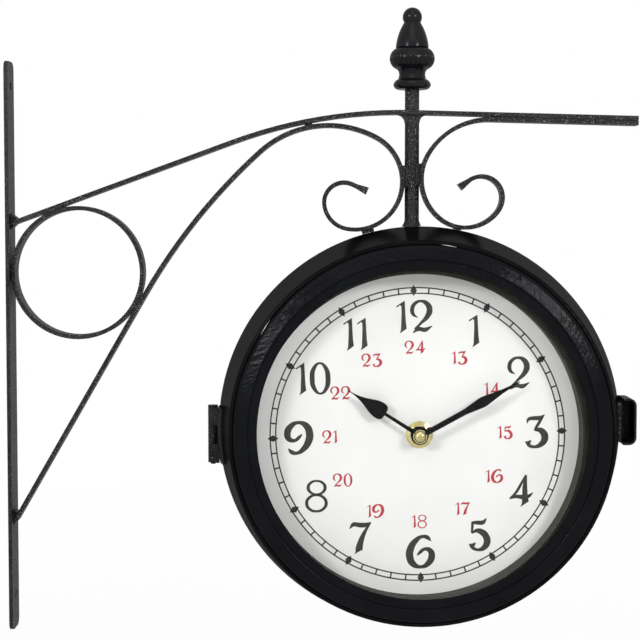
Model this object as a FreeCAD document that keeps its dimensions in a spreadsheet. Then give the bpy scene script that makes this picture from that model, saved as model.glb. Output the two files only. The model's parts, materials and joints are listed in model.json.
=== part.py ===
"""Double sided station clock on a wall bracket.

Origin: middle of the strap's two screw holes, on the wall face.
+X points away from the wall, the front dial faces -Y, +Z is up. Millimetres.
"""

import FreeCAD, Part
import math
import os

import Sketcher
from FreeCAD import Placement, Rotation, Vector

doc = FreeCAD.newDocument("station_clock")
sheet = doc.addObject("Spreadsheet::Sheet", "sizes")


# --- driving sizes -------------------------------------------------------------------------------

DRIVING_SIZES = [
    # wall strap
    ("strap_width", 20, "width of the flat bar on the wall"),
    ("strap_thick", 2.3, "its thickness"),
    ("strap_above", 14.3, "strap above the top screw hole"),
    ("strap_below", 20.9, "strap below the bottom screw hole"),
    ("strap_corner", 5, "corner radius of both strap ends"),
    ("hole_spacing", 306, "between the two screw holes"),
    ("hole_dia", 5.3, "screw hole"),
    # bars of the bracket
    ("bar_width", 12, "width of the bent bars, across the bracket"),
    ("bar_thick", 2.5, "their thickness"),
    ("flare_length", 7, "hammered end of a scroll"),
    ("curl_run", 3, "straight part before the left scroll's hammered end"),
    ("flare_thick", 4.4, "its thickness"),
    ("rod_reach", 241.9, "wall to the hanger rod"),
    ("rod_dia", 8.6, "hanger rod and finial post"),
    ("arm_height", 136.9, "arm above the origin, at the rod"),
    ("arm_reach", 376, "wall to the far end of the arm"),
    ("arm_droop", 1.5, "fall of the arm beyond the rod, degrees"),
    ("arm_turn", 21.6, "turn of the arm's long bend, degrees"),
    ("arm_bend", 289, "radius of that bend"),
    ("brace_slope", 59.97, "straight part of the brace, degrees"),
    ("brace_bend", 356, "first long bend of the brace"),
    ("brace_turn", 17.8, "its turn"),
    ("crown_bend", 59.65, "bend over the top of the left scroll"),
    ("crown_turn", 70, "its turn"),
    ("crown_drop", 7.6, "top of the left scroll below the arm at the rod"),
    ("cheek_bend", 29.1, "bend beside the rod"),
    ("cheek_turn", 83.7, "its turn"),
    ("belly_bend", 27.5, "bend under the left scroll"),
    ("belly_turn", 79.1, "its turn"),
    ("curl_bend", 16.1, "outer curl"),
    ("curl_turn", 74, "its turn"),
    ("eye_bend", 11.6, "inner curl"),
    ("eye_turn", 119.3, "its turn"),
    ("tail_gap", 0.5, "between the arm and the tail bar under it"),
    ("tail_bend", 46.7, "first bend of the tail scroll"),
    ("tail_turn", 59.6, "its turn"),
    ("tail_neck_bend", 33.6, "second bend"),
    ("tail_neck_turn", 82.1, "its turn"),
    ("tail_belly_bend", 27, "bend beside the rod and under the scroll"),
    ("tail_belly_turn", 90.6, "its turn"),
    ("tail_curl_bend", 16.2, "outer curl"),
    ("tail_curl_turn", 40.5, "its turn"),
    ("tail_eye_bend", 13.9, "inner curl"),
    ("tail_eye_turn", 124.4, "its turn"),
    ("brace_foot_gap", 1.7, "between the left scroll and the case, filled by its weld"),
    ("tail_foot_gap", 0.5, "between the right scroll and the case, filled by its weld"),
    ("ring_radius", 39.8, "outside of the corner ring"),
    ("weld_width", 8, "weld tabs, across the bracket"),
    ("weld_reach", 2.4, "half length of a weld tab along the bars"),
    ("touch_gap", 0.1, "between bars that are welded side by side"),
    ("cheek_weld", 13, "height of the welds between the scrolls and the rod"),
    ("cheek_weld_rise", 3, "their middle above the place where scroll and rod are nearest"),
    ("fillet_leg", 5, "leg of a triangular weld"),
    ("rod_seat", 0.2, "between the arm and the two rods, bridged by welds"),
    ("foot_flare", 2.6, "foot of the hanger rod, beyond the rod"),
    ("foot_flare_height", 8, "its height"),
    # finial, heights from its foot
    ("post_show", 12.45, "between the arm and the finial"),
    ("post_socket", 9, "post inside the finial"),
    ("post_fit", 0.05, "radial clearance of that socket"),
    ("foot_height", 2.9, "widest level of the foot"),
    ("foot_radius", 11.2, "foot"),
    ("waist_height", 8.5, "waist"),
    ("waist_radius", 7.7, "waist"),
    ("bulb_base", 10.6, "top of the waist"),
    ("bulb_height", 18.3, "widest level of the bulb"),
    ("bulb_radius", 13.4, "bulb"),
    ("bulb_bend", 6.8, "roundness of its side"),
    ("bulb_root", 1.3, "bulb outside the waist where it starts"),
    ("cone_radius", 9.8, "bottom of the cone"),
    ("neck_height", 39.7, "neck under the ball"),
    ("neck_radius", 4.85, "neck"),
    ("ball_radius", 5.75, "ball on top"),
    ("flute_count", 28, "flutes round the bulb"),
    ("flute_radius", 0.8, "cutter of a flute"),
    ("flute_depth", 0.48, "depth of a flute"),
    ("flute_above", 54, "flute above the widest level, degrees"),
    ("flute_below", 50, "flute below it, degrees"),
    # case
    ("case_shift", 4.6, "case axis beyond the rod"),
    ("case_drop", 67.6, "top of the case below the arm at the rod"),
    ("case_taper", 8.1, "case wider at the seam than at its front edge"),
    ("rim_land", 3, "straight part beside the seam"),
    ("mouth_lip", 1.9, "front edge of the case round the bezel"),
    ("sheet_thick", 1, "sheet steel of case and bezel"),
    ("edge_round", 1.5, "rolled front edge"),
    ("seam_gap", 0.3, "between the two halves"),
    ("seat_gap", 0.3, "between the case and what is welded over its seam"),
    ("skin_gap", 0.1, "between curved plates that lie on each other"),
    # bezel and glass
    ("lip_radius", 95.7, "inner edge of the bezel"),
    ("flat_width", 5.3, "flat ring between that edge and the crown"),
    ("slope_width", 9, "from the crown out to the skirt"),
    ("bezel_gap", 0.3, "between the bezel and the case's opening"),
    ("crown_rise", 1.6, "crown in front of the flat ring"),
    ("shoulder_fall", 1, "outer edge of the bezel's face behind the flat ring"),
    ("shoulder_round", 3, "radius of that edge"),
    ("shoulder_show", 1.4, "that edge in front of the case"),
    ("skirt_tuck", 6.5, "bezel's skirt behind the case's front edge"),
    ("glass_inset", 5, "glass inside the skirt"),
    ("glass_thick", 2, "glass"),
    ("glass_air", 4.5, "between the cap nut and the glass"),
    ("spacer_show", 0.8, "spacer's inside within the lip's edge"),
    ("spacer_left", 2.2, "spacer to the left of the case axis, seen from its side"),
    ("spacer_sink", 2, "spacer below the case axis"),
    ("spacer_wall", 5, "spacer"),
    # dial and what holds it
    ("dial_thick", 2.5, "dial board"),
    ("dial_inset", 5, "dial board inside the skirt"),
    ("clip_width", 12, "dial bracket"),
    ("clip_thick", 1.2, "dial bracket"),
    ("clip_count", 4, "dial brackets"),
    ("clip_inset", 0.6, "bracket inside the skirt"),
    ("screw_inset", 3, "dial screws inside the edge of the board"),
    ("screw_dia", 3, "dial screw"),
    ("screw_bite", 2, "depth of the screw in the board"),
    ("screw_head_dia", 5.6, "screw head"),
    ("screw_head_height", 1.8, "screw head"),
    # movement
    ("spindle_left", 1, "spindle left of the case axis, as the dial is read"),
    ("spindle_drop", 2, "spindle below the case axis"),
    ("back_room", 3.4, "between the seam plane and the setting knob"),
    ("movement_wall", 1.2, "wall of the movement's housing"),
    ("movement_round", 4, "its corners"),
    ("bay_play", 1.4, "battery bay higher than the battery"),
    ("battery_air", 0.2, "between the battery and the front wall"),
    ("battery_cover", 0.9, "housing behind the battery"),
    ("battery_dia", 14.2, "battery"),
    ("battery_length", 50, "battery"),
    ("button_dia", 5.4, "battery's button"),
    ("button_height", 1, "battery's button"),
    ("contact_thick", 0.5, "battery contacts"),
    ("contact_height", 9, "battery contacts"),
    ("contact_reach", 1.3, "contact button, from the plate to the battery"),
    ("gear_module", 0.5, "gears of the motion work"),
    ("arbor_teeth", 10, "pinion on the minute arbor"),
    ("motion_teeth", 30, "motion wheel"),
    ("pinion_teeth", 8, "pinion on the motion wheel"),
    ("gear_thick", 2, "face width"),
    ("gear_air", 0.9, "between the gears and the wall in front of them"),
    ("run_fit", 0.05, "radial clearance of a running fit"),
    ("post_dia", 1.6, "fixed post of the motion wheel"),
    ("arbor_dia", 3, "minute arbor"),
    ("pivot_dia", 1.5, "rear pivot of the minute arbor"),
    ("pipe_dia", 5, "hour pipe"),
    ("bush_dia", 8, "threaded bush"),
    ("bush_end", 1.4, "bush in front of the nut"),
    ("knob_dia", 10, "setting knob"),
    ("knob_height", 2.4, "setting knob"),
    ("knob_shaft", 2, "its shaft"),
    ("knob_air", 0.2, "between the knob and the lid"),
    ("grip_count", 18, "grips round the knob"),
    # brass parts and hands
    ("washer_radius", 8, "dished washer on the dial"),
    ("washer_rise", 1.2, "height of its middle"),
    ("washer_thick", 0.6, "its sheet"),
    ("nut_wall", 1.3, "nut round the bush, at its flats"),
    ("nut_height", 2.2, "nut"),
    ("hand_thick", 0.7, "hands"),
    ("hand_air", 0.8, "between the bush and the hour hand"),
    ("hand_gap", 2.3, "between the two hands"),
    ("hour_length", 50, "hub to tip"),
    ("hour_boss", 5.2, "radius round the hub"),
    ("hour_shank", 1.8, "width of the narrow part"),
    ("leaf_start", 24, "hub to the notch of the leaf"),
    ("leaf_rise", 4, "from the notch to the widest level of the leaf"),
    ("leaf_width", 10, "leaf"),
    ("minute_length", 66, "hub to tip"),
    ("minute_boss", 4.8, "radius round the hub"),
    ("minute_root", 3, "width at the hub"),
    ("minute_middle", 42, "hub to the widest level"),
    ("minute_width", 6.2, "widest level"),
    ("tip_width", 0.6, "point of a hand"),
    ("hour_angle", 302.5, "clockwise from twelve, degrees"),
    ("minute_angle", 61, "clockwise from twelve, degrees"),
    ("cap_radius", 4.1, "cap nut"),
    ("cap_height", 3.6, "cap nut"),
    # hinge and catch
    ("knuckle_dia", 6, "hinge barrel"),
    ("hinge_pin_dia", 3, "hinge pin"),
    ("hinge_stand", 3.7, "hinge axis outside the rim"),
    ("hinge_height", 33.6, "barrel"),
    ("hinge_drop", 5, "middle of the barrel below the case axis"),
    ("knuckle_gap", 0.3, "between knuckles"),
    ("leaf_thick", 1.2, "hinge leaf"),
    ("neck_wall", 0.4, "between the pin's bore and the side of a knuckle's neck"),
    ("neck_width", 2.4, "neck at the barrel"),
    ("neck_setback", 1.5, "neck from the leaf's edge"),
    ("neck_sunk", 0.6, "neck's root below the leaf, trimmed by the case"),
    ("leaf_reach", 15, "leaf from the seam"),
    ("leaf_setback", 3.6, "leaf's edge from the seam"),
    ("pin_head", 1, "head of the hinge pin"),
    ("catch_rise", 3.7, "middle of the catch above the case axis"),
    ("catch_height", 28, "catch"),
    ("catch_stand", 9.3, "catch outside the rim"),
    ("catch_wall", 1.2, "its sheet"),
    ("catch_round", 4.5, "its bends"),
    ("catch_front", 9, "catch in front of the seam"),
    ("catch_rear", 11, "catch behind the seam"),
    ("catch_foot", 12, "its foot on the rear case"),
    ("catch_lift", 1.6, "free edge of the catch outside the rim"),
    ("catch_sunk", 6, "catch below the rim before the case trims it"),
    ("catch_foot_lift", 0.6, "top of its foot above one wall's thickness"),
    ("catch_foot_sunk", 8, "foot below the rim before the case trims it"),
    ("strike_height", 22, "strike plate"),
    ("strike_thick", 1.5, "strike plate"),
    ("strike_lift", 1, "strike tongue outside the rim"),
    ("strike_base", 18, "strike plate in front of the seam"),
    ("strike_root", 0.8, "root of the tongue in front of the seam"),
    ("strike_bend", 2, "length of the bend up to the tongue"),
    ("strike_sunk", 4, "strike plate below its top before the case trims it"),
    ("strike_tongue", 7, "strike tongue behind the seam"),
]


class Size:
    """A number that also carries the sheet formula it comes from."""

    def __init__(self, value, formula):
        self.value = float(value)
        self.formula = formula

    def __float__(self):
        return self.value

    def __add__(self, other):
        return Size(self.value + float(other), f"({self.formula} + {formula_of(other)})")

    def __radd__(self, other):
        return Size(float(other) + self.value, f"({formula_of(other)} + {self.formula})")

    def __sub__(self, other):
        return Size(self.value - float(other), f"({self.formula} - {formula_of(other)})")

    def __rsub__(self, other):
        return Size(float(other) - self.value, f"({formula_of(other)} - {self.formula})")

    def __mul__(self, other):
        return Size(self.value * float(other), f"({self.formula} * {formula_of(other)})")

    def __rmul__(self, other):
        return self * other

    def __truediv__(self, other):
        return Size(self.value / float(other), f"({self.formula} / {formula_of(other)})")

    def __neg__(self):
        return Size(-self.value, f"(0 - {self.formula})")

    def whole(self):
        return Size(round(self.value), f"round({self.formula})")


def formula_of(number):
    return number.formula if isinstance(number, Size) else repr(float(number))


class Sheet:
    """The driving sizes by name, as they stand in the sheet."""


def fill_sheet():
    book = Sheet()
    for row, (alias, value, note) in enumerate(DRIVING_SIZES, start=1):
        sheet.set(f"A{row}", alias)
        sheet.set(f"B{row}", str(value))
        sheet.setAlias(f"B{row}", alias)
        sheet.set(f"C{row}", note)
    doc.recompute()
    for alias, value, note in DRIVING_SIZES:
        setattr(book, alias, Size(sheet.get(alias), f"sizes.{alias}"))
    return book


def bind(thing, prop, number):
    """Sets a property, and ties it to the sheet where the number comes from there."""
    if isinstance(number, Size):
        thing.setExpression(prop, number.formula)
    else:
        thing.setExpression(prop, repr(float(number)))


s = fill_sheet()

# --- sizes that follow from the driving ones -------------------------------------------------------

rod_radius = s.rod_dia / 2
half_bar = s.bar_thick / 2
seam = s.seam_gap / 2

# radii, from the dial's edge outwards to the seam
crown_radius = s.lip_radius + s.flat_width
skirt_radius = crown_radius + s.slope_width
skirt_inside = skirt_radius - s.sheet_thick
mouth_radius = skirt_radius + s.bezel_gap
front_radius = mouth_radius + s.mouth_lip
rim_radius = front_radius + s.case_taper
glass_radius = skirt_inside - s.glass_inset
dial_radius = skirt_inside - s.dial_inset
screw_circle = dial_radius - s.screw_inset
spacer_inside = s.lip_radius - s.spacer_show
spacer_outside = spacer_inside + s.spacer_wall
hinge_radius = rim_radius + s.hinge_stand
case_x = s.rod_reach + s.case_shift
case_z = s.arm_height - s.case_drop - rim_radius

# depths, from the seam plane out through the movement, dial and hands to the bezel
movement_depth = s.movement_wall + s.battery_air + s.battery_dia + s.battery_cover
movement_back = s.back_room + s.knob_height + s.knob_air
dial_back = movement_back + movement_depth
dial_depth = dial_back + s.dial_thick
nut_back = dial_depth + s.washer_rise
bush_show = s.washer_rise + s.nut_height + s.bush_end
hour_depth = dial_depth + bush_show + s.hand_air
minute_depth = hour_depth + s.hand_thick + s.hand_gap
glass_back = minute_depth + s.hand_thick + s.cap_height + s.glass_air
lip_back = glass_back + s.glass_thick
step_depth = lip_back + s.sheet_thick
crown_depth = step_depth + s.crown_rise
shoulder_depth = step_depth - s.shoulder_fall
case_depth = shoulder_depth - s.shoulder_show
skirt_depth = case_depth - s.skirt_tuck
cone_slope = s.case_taper / (case_depth - s.rim_land)

# inside the movement
bay_height = s.battery_dia + s.bay_play
movement_size = s.battery_length + 2 * (s.contact_reach + s.contact_thick + s.movement_wall)
movement_half = movement_size / 2
movement_front_inside = dial_back - s.movement_wall
bay_top = bay_height + s.movement_wall - movement_half
battery_y = s.movement_wall + bay_height / 2 - movement_half
arbor_teeth = s.arbor_teeth.whole()
motion_teeth = s.motion_teeth.whole()
pinion_teeth = s.pinion_teeth.whole()
hour_teeth = arbor_teeth + motion_teeth - pinion_teeth
motion_distance = s.gear_module * (arbor_teeth + motion_teeth) / 2
hour_gear_back = movement_front_inside - s.gear_air - s.gear_thick
motion_gear_back = hour_gear_back - s.gear_thick - s.gear_air
pipe_inside = s.arbor_dia / 2 + s.run_fit
bush_inside = s.pipe_dia / 2 + s.run_fit
pipe_front = hour_depth + s.hand_thick + s.run_fit
nut_flats = s.bush_dia + 2 * s.nut_wall
leaf_middle = s.leaf_start + s.leaf_rise


# --- small helpers -----------------------------------------------------------------------------------

def origin_plane(body, role):
    return next(item for item in body.Origin.OriginFeatures if item.Role == role)


def new_body(label):
    body = doc.addObject("PartDesign::Body", label)
    body.Label = label
    return body


def add_sketch(body, role, outlines=(), circles=()):
    """A sketch of closed outlines and circles, every corner tied to the sheet."""
    sketch = body.newObject("Sketcher::SketchObject", body.Name + "_sketch")
    sketch.AttachmentSupport = [(origin_plane(body, role), "")]
    sketch.MapMode = "FlatFace"
    for corners in outlines:
        first = sketch.GeometryCount
        count = len(corners)
        points = [Vector(float(x), float(y), 0) for x, y in corners]
        for i in range(count):
            sketch.addGeometry(Part.LineSegment(points[i], points[(i + 1) % count]), False)
        for i in range(count):
            sketch.addConstraint(Sketcher.Constraint("Coincident", first + i, 2, first + (i + 1) % count, 1))
        for i, (x, y) in enumerate(corners):
            tie(sketch, "DistanceX", first + i, 1, x)
            tie(sketch, "DistanceY", first + i, 1, y)
    for x, y, radius in circles:
        index = sketch.GeometryCount
        sketch.addGeometry(Part.Circle(Vector(float(x), float(y), 0), Vector(0, 0, 1), float(radius)), False)
        tie(sketch, "DistanceX", index, 3, x)
        tie(sketch, "DistanceY", index, 3, y)
        k = sketch.addConstraint(Sketcher.Constraint("Radius", index, float(radius)))
        bind(sketch, f"Constraints[{k}]", radius)
    return sketch


def tie(sketch, kind, geometry, point, number):
    k = sketch.addConstraint(Sketcher.Constraint(kind, -1, 1, geometry, point, float(number)))
    if isinstance(number, Size):
        bind(sketch, f"Constraints[{k}]", number)


def revolve(body, sketch, angle=360.0):
    """Turns a (radius, depth) outline about the body's Z axis."""
    feature = body.newObject("PartDesign::Revolution", body.Name + "_turn")
    feature.Profile = sketch
    feature.ReferenceAxis = (sketch, ["V_Axis"])
    feature.Angle = angle
    sketch.Visibility = False
    return feature


def pad(body, sketch, length, midplane=False):
    feature = body.newObject("PartDesign::Pad", body.Name + "_pad")
    feature.Profile = sketch
    bind(feature, "Length", length)
    feature.Midplane = midplane
    return feature


def pocket(body, sketch, length=None, backwards=False, midplane=False):
    """Cuts a sketch out, through everything where no length is given, and proves that it cut."""
    doc.recompute()
    before = body.Shape.Volume
    feature = body.newObject("PartDesign::Pocket", body.Name + "_cut")
    feature.Profile = sketch
    if length is None:
        feature.Type = "ThroughAll"
        feature.Midplane = True
    else:
        bind(feature, "Length", length)
        feature.Reversed = backwards
        feature.Midplane = midplane
    doc.recompute()
    if not body.Shape.Volume < before:
        raise RuntimeError(f"{feature.Name} cuts nothing")
    return feature


def round_edges(body, base, chosen, radius):
    """Rounds the edges of the base feature for which chosen(edge) holds."""
    doc.recompute()
    names = [f"Edge{i}" for i, edge in enumerate(base.Shape.Edges, start=1) if chosen(edge)]
    if not names:
        raise RuntimeError(f"{body.Label} has no such edge")
    feature = body.newObject("PartDesign::Fillet", body.Name + "_round")
    feature.Base = (base, names)
    bind(feature, "Radius", radius)
    doc.recompute()
    return feature


def is_ring(radius, height, axis="z"):
    """Picks the circular edge of that radius at that height."""
    def chosen(edge):
        curve = edge.Curve
        if not isinstance(curve, Part.Circle):
            return False
        same_radius = abs(curve.Radius - float(radius)) < 1e-4
        same_height = abs(getattr(curve.Center, axis) - float(height)) < 1e-4
        return same_radius and same_height
    return chosen


def set_place(thing, rotation, x, y, z):
    """Turns a sub-part and ties its position to the sheet."""
    thing.Placement = Placement(Vector(float(x), float(y), float(z)), rotation)
    for axis, number in zip("xyz", (x, y, z)):
        if isinstance(number, Size):
            thing.setExpression(f"Placement.Base.{axis}", number.formula)


def feature_of(label, shape, placement=None):
    thing = doc.addObject("Part::Feature", label)
    thing.Label = label
    thing.Shape = shape
    if placement is not None:
        thing.Placement = placement
    return thing


def prism(corners, low, high):
    """A polygon of (x, y) corners between two heights on the Z axis."""
    points = [Vector(float(x), float(y), float(low)) for x, y in corners]
    return Part.Face(Part.makePolygon(points + points[:1])).extrude(Vector(0, 0, float(high) - float(low)))


def rod(radius, low, high, x=0.0, y=0.0):
    return Part.makeCylinder(float(radius), float(high) - float(low), Vector(float(x), float(y), float(low)))


# --- bars of the bracket, bent in the XZ plane ------------------------------------------------------

class Path:
    """A chain of straight runs and tangent bends. Turns are degrees, to the left where positive."""

    def __init__(self, heading):
        self.heading = heading
        self.pieces = []
        self.end = (0.0, 0.0)

    def run(self, length):
        x, z = self.end
        a = math.radians(self.heading)
        self.pieces.append(("run", self.end, self.heading, float(length), 0.0))
        self.end = (x + float(length) * math.cos(a), z + float(length) * math.sin(a))
        return self

    def bend(self, radius, turn):
        radius, turn = float(radius), float(turn)
        self.pieces.append(("bend", self.end, self.heading, radius, turn))
        self.end = point_on_bend(self.end, self.heading, radius, turn, turn)
        self.heading += turn
        return self

    def heads(self, heading):
        """Where a bend of the chain has this heading."""
        for kind, start, head, radius, turn in self.pieces:
            if kind == "bend":
                part = (heading - head) % 360.0 if turn > 0 else -((head - heading) % 360.0)
                if abs(part) <= abs(turn):
                    return point_on_bend(start, head, radius, turn, part)
        raise RuntimeError("no bend of the bar has that heading")

    def moved(self, dx, dz):
        copy = Path(self.heading)
        copy.end = (self.end[0] + dx, self.end[1] + dz)
        copy.pieces = [(k, (p[0] + dx, p[1] + dz), h, a, b) for k, p, h, a, b in self.pieces]
        return copy


def point_on_bend(start, heading, radius, turn, part):
    side = 1.0 if turn > 0 else -1.0
    a = math.radians(heading)
    cx = start[0] - side * radius * math.sin(a)
    cz = start[1] + side * radius * math.cos(a)
    b = math.radians(heading - side * 90.0 + part)
    return (cx + radius * math.cos(b), cz + radius * math.sin(b))


def in_plane(point):
    return Vector(point[0], 0, point[1])


def piece_edge(piece, offset, end_offset=None):
    """One edge of a bar's outline, offset to the left of a run or bend."""
    kind, start, heading, size, turn = piece
    a = math.radians(heading)
    left = (-math.sin(a), math.cos(a))
    begin = (start[0] + offset * left[0], start[1] + offset * left[1])
    if kind == "run":
        last = offset if end_offset is None else end_offset
        tip = (start[0] + size * math.cos(a) + last * left[0], start[1] + size * math.sin(a) + last * left[1])
        return Part.LineSegment(in_plane(begin), in_plane(tip)).toShape()
    side = 1.0 if turn > 0 else -1.0
    radius = size - side * offset
    middle = point_on_bend(begin, heading, radius, turn, turn / 2)
    tip = point_on_bend(begin, heading, radius, turn, turn)
    return Part.Arc(in_plane(begin), in_plane(middle), in_plane(tip)).toShape()


def centre_line(path):
    return Part.Wire([piece_edge(piece, 0.0) for piece in path.pieces])


def make_bar(label, path, flared=False):
    """A flat bar along the path. A flared bar is hammered thicker over its last run."""
    half = float(half_bar)
    ends = [None] * len(path.pieces)
    if flared:
        ends[-1] = float(s.flare_thick) / 2
    left = [piece_edge(p, half, e) for p, e in zip(path.pieces, ends)]
    right = [piece_edge(p, -half, -e if e else None) for p, e in zip(path.pieces, ends)]
    start_cap = Part.LineSegment(right[0].Vertexes[0].Point, left[0].Vertexes[0].Point).toShape()
    end_cap = Part.LineSegment(left[-1].Vertexes[-1].Point, right[-1].Vertexes[-1].Point).toShape()
    wire = Part.Wire(Part.__sortEdges__(left + right + [start_cap, end_cap]))
    outline = feature_of(label + "_outline", Part.Face(wire))
    bar = doc.addObject("Part::Extrusion", label)
    bar.Label = label
    bar.Base = outline
    bar.DirMode = "Custom"
    bar.Dir = Vector(0, 1, 0)
    bar.Solid = True
    bar.Symmetric = True
    bind(bar, "LengthFwd", s.bar_width)
    outline.Visibility = False
    return bar


def arm_path():
    """From the strap, over the long bend, to the far end. The bend ends at the rod."""
    droop = math.radians(float(s.arm_droop))
    rise = float(s.arm_turn) - float(s.arm_droop)
    path = Path(rise)
    path.bend(s.arm_bend, -float(s.arm_turn))
    path = path.moved(float(s.rod_reach) - path.end[0], float(s.arm_height) - path.end[1])
    path.run((float(s.arm_reach) - float(s.rod_reach)) / math.cos(droop))
    return reach_strap(path, rise)


def reach_strap(path, heading):
    """Puts a straight run in front, from the strap's face, cut so that its corner touches it."""
    x, z = path.pieces[0][1]
    a = math.radians(heading)
    inset = float(half_bar) * math.sin(a) + float(s.touch_gap)
    length = (x - float(s.strap_thick) - inset) / math.cos(a)
    start = (x - length * math.cos(a), z - length * math.sin(a))
    whole = Path(path.heading)
    whole.pieces = [("run", start, heading, length, 0.0)] + path.pieces
    whole.end = path.end
    return whole


def brace_path(scale):
    """The left scroll touches the rod and hangs below the arm, and its run reaches the strap."""
    path = Path(float(s.brace_slope))
    path.bend(s.brace_bend, -float(s.brace_turn))
    path.bend(scale * s.crown_bend, -float(s.crown_turn))
    path.bend(scale * s.cheek_bend, -float(s.cheek_turn))
    path.bend(scale * s.belly_bend, -float(s.belly_turn))
    path.bend(scale * s.curl_bend, -float(s.curl_turn))
    path.bend(scale * s.eye_bend, -float(s.eye_turn))
    path.run(s.curl_run)
    path.run(s.flare_length)
    cheek_x = path.heads(-90.0)[0]
    top_z = path.heads(0.0)[1]
    touch_x = float(s.rod_reach - rod_radius - s.touch_gap - half_bar)
    path = path.moved(touch_x - cheek_x, float(s.arm_height - s.crown_drop) - top_z)
    return reach_strap(path, float(s.brace_slope))


def tail_path(scale):
    """Runs back under the arm from its far end, and its scroll touches the rod."""
    droop = float(s.arm_droop)
    scroll = Path(180.0 - droop)
    scroll.bend(scale * s.tail_bend, s.tail_turn)
    scroll.bend(scale * s.tail_neck_bend, s.tail_neck_turn)
    scroll.bend(scale * s.tail_belly_bend, s.tail_belly_turn)
    scroll.bend(scale * s.tail_curl_bend, s.tail_curl_turn)
    scroll.bend(scale * s.tail_eye_bend, s.tail_eye_turn)
    scroll.run(s.flare_length)
    touch_x = float(s.rod_reach + rod_radius + s.touch_gap + half_bar)
    dx = touch_x - scroll.heads(-90.0)[0]
    a = math.radians(droop)
    below = float(s.bar_thick + s.tail_gap)
    fall = (dx - float(s.rod_reach)) * math.tan(a) + below / math.cos(a)
    scroll = scroll.moved(dx, float(s.arm_height) - fall)
    length = (float(s.arm_reach) - dx) / math.cos(a)
    x, z = scroll.pieces[0][1]
    whole = Path(scroll.heading)
    start = (x + length * math.cos(a), z - length * math.sin(a))
    whole.pieces = [("run", start, 180.0 - droop, length, 0.0)] + scroll.pieces
    whole.end = scroll.end
    return whole


def air_to_case(path):
    """Between a bar and the top of the case, at the bar's nearest point."""
    nearest = math.inf
    steps = 60
    for kind, start, heading, radius, turn in path.pieces[2:]:
        if kind == "bend":
            for i in range(steps + 1):
                x, z = point_on_bend(start, heading, radius, turn, turn * i / steps)
                nearest = min(nearest, math.hypot(x - float(case_x), z - float(case_z)))
    return nearest - float(rim_radius + half_bar)


def fit_scroll(build, gap):
    """Opens a scroll's bends until it stands just that far off the case."""
    small, large = 0.5, 2.0
    for _ in range(30):
        middle = (small + large) / 2
        if air_to_case(build(middle)) > float(gap):
            small = middle
        else:
            large = middle
    return build(small)


def ring_centre(arm):
    """The corner ring touches the strap and the underside of the arm."""
    _, start, heading, _, _ = arm.pieces[0]
    a = math.radians(heading)
    x = float(s.strap_thick + s.touch_gap + s.ring_radius)
    clear = float(s.ring_radius + s.touch_gap + half_bar)
    z = start[1] + (x - start[0]) * math.tan(a) - clear / math.cos(a)
    return (x, z)


def make_ring(label, centre):
    ring = doc.addObject("Part::Cut", label)
    ring.Label = label
    outer = doc.addObject("Part::Cylinder", label + "_outer")
    inner = doc.addObject("Part::Cylinder", label + "_inner")
    turned = Rotation(Vector(1, 0, 0), 90)
    for disc, radius in ((outer, s.ring_radius), (inner, s.ring_radius - s.bar_thick)):
        bind(disc, "Radius", radius)
        bind(disc, "Height", s.bar_width)
        disc.Placement = Placement(Vector(centre[0], float(s.bar_width) / 2, centre[1]), turned)
        disc.setExpression("Placement.Base.y", (s.bar_width / 2).formula)
    ring.Base = outer
    ring.Tool = inner
    return ring


# --- welds -------------------------------------------------------------------------------------------

def weld_block(corners):
    half = float(s.weld_width) / 2
    points = [Vector(x, -half, z) for x, z in corners]
    return Part.Face(Part.makePolygon(points + points[:1])).extrude(Vector(0, 2 * half, 0))


def weld_between(line_a, line_b, reach=None):
    """A tab across the shortest way between two centre lines."""
    _, pairs, _ = line_a.distToShape(line_b)
    p, q = pairs[0]
    along = (q - p).normalize()
    half = float(s.weld_reach if reach is None else reach)
    side = Vector(-along.z, 0, along.x) * half
    return weld_block([(v.x, v.z) for v in (p + side, q + side, q - side, p - side)])


def line_in_plane(x0, z0, x1, z1):
    return Part.LineSegment(Vector(x0, 0, z0), Vector(x1, 0, z1)).toShape()


def circle_in_plane(x, z, radius):
    return Part.Circle(Vector(x, 0, z), Vector(0, 1, 0), radius).toShape()


def case_envelope(gap):
    """The outside of both case halves, grown by a gap, as a solid to cut with."""
    rim = float(rim_radius + gap)
    front = float(front_radius + gap)
    land = float(s.rim_land)
    deep = float(case_depth)
    corners = [(0, -deep), (front, -deep), (rim, -land), (rim, land), (front, deep), (0, deep)]
    points = [Vector(x, y, 0) for x, y in corners]
    solid = Part.Face(Part.makePolygon(points + points[:1])).revolve(Vector(0, 0, 0), Vector(0, 1, 0), 360)
    solid.translate(Vector(float(case_x), 0, float(case_z)))
    return solid


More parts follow.
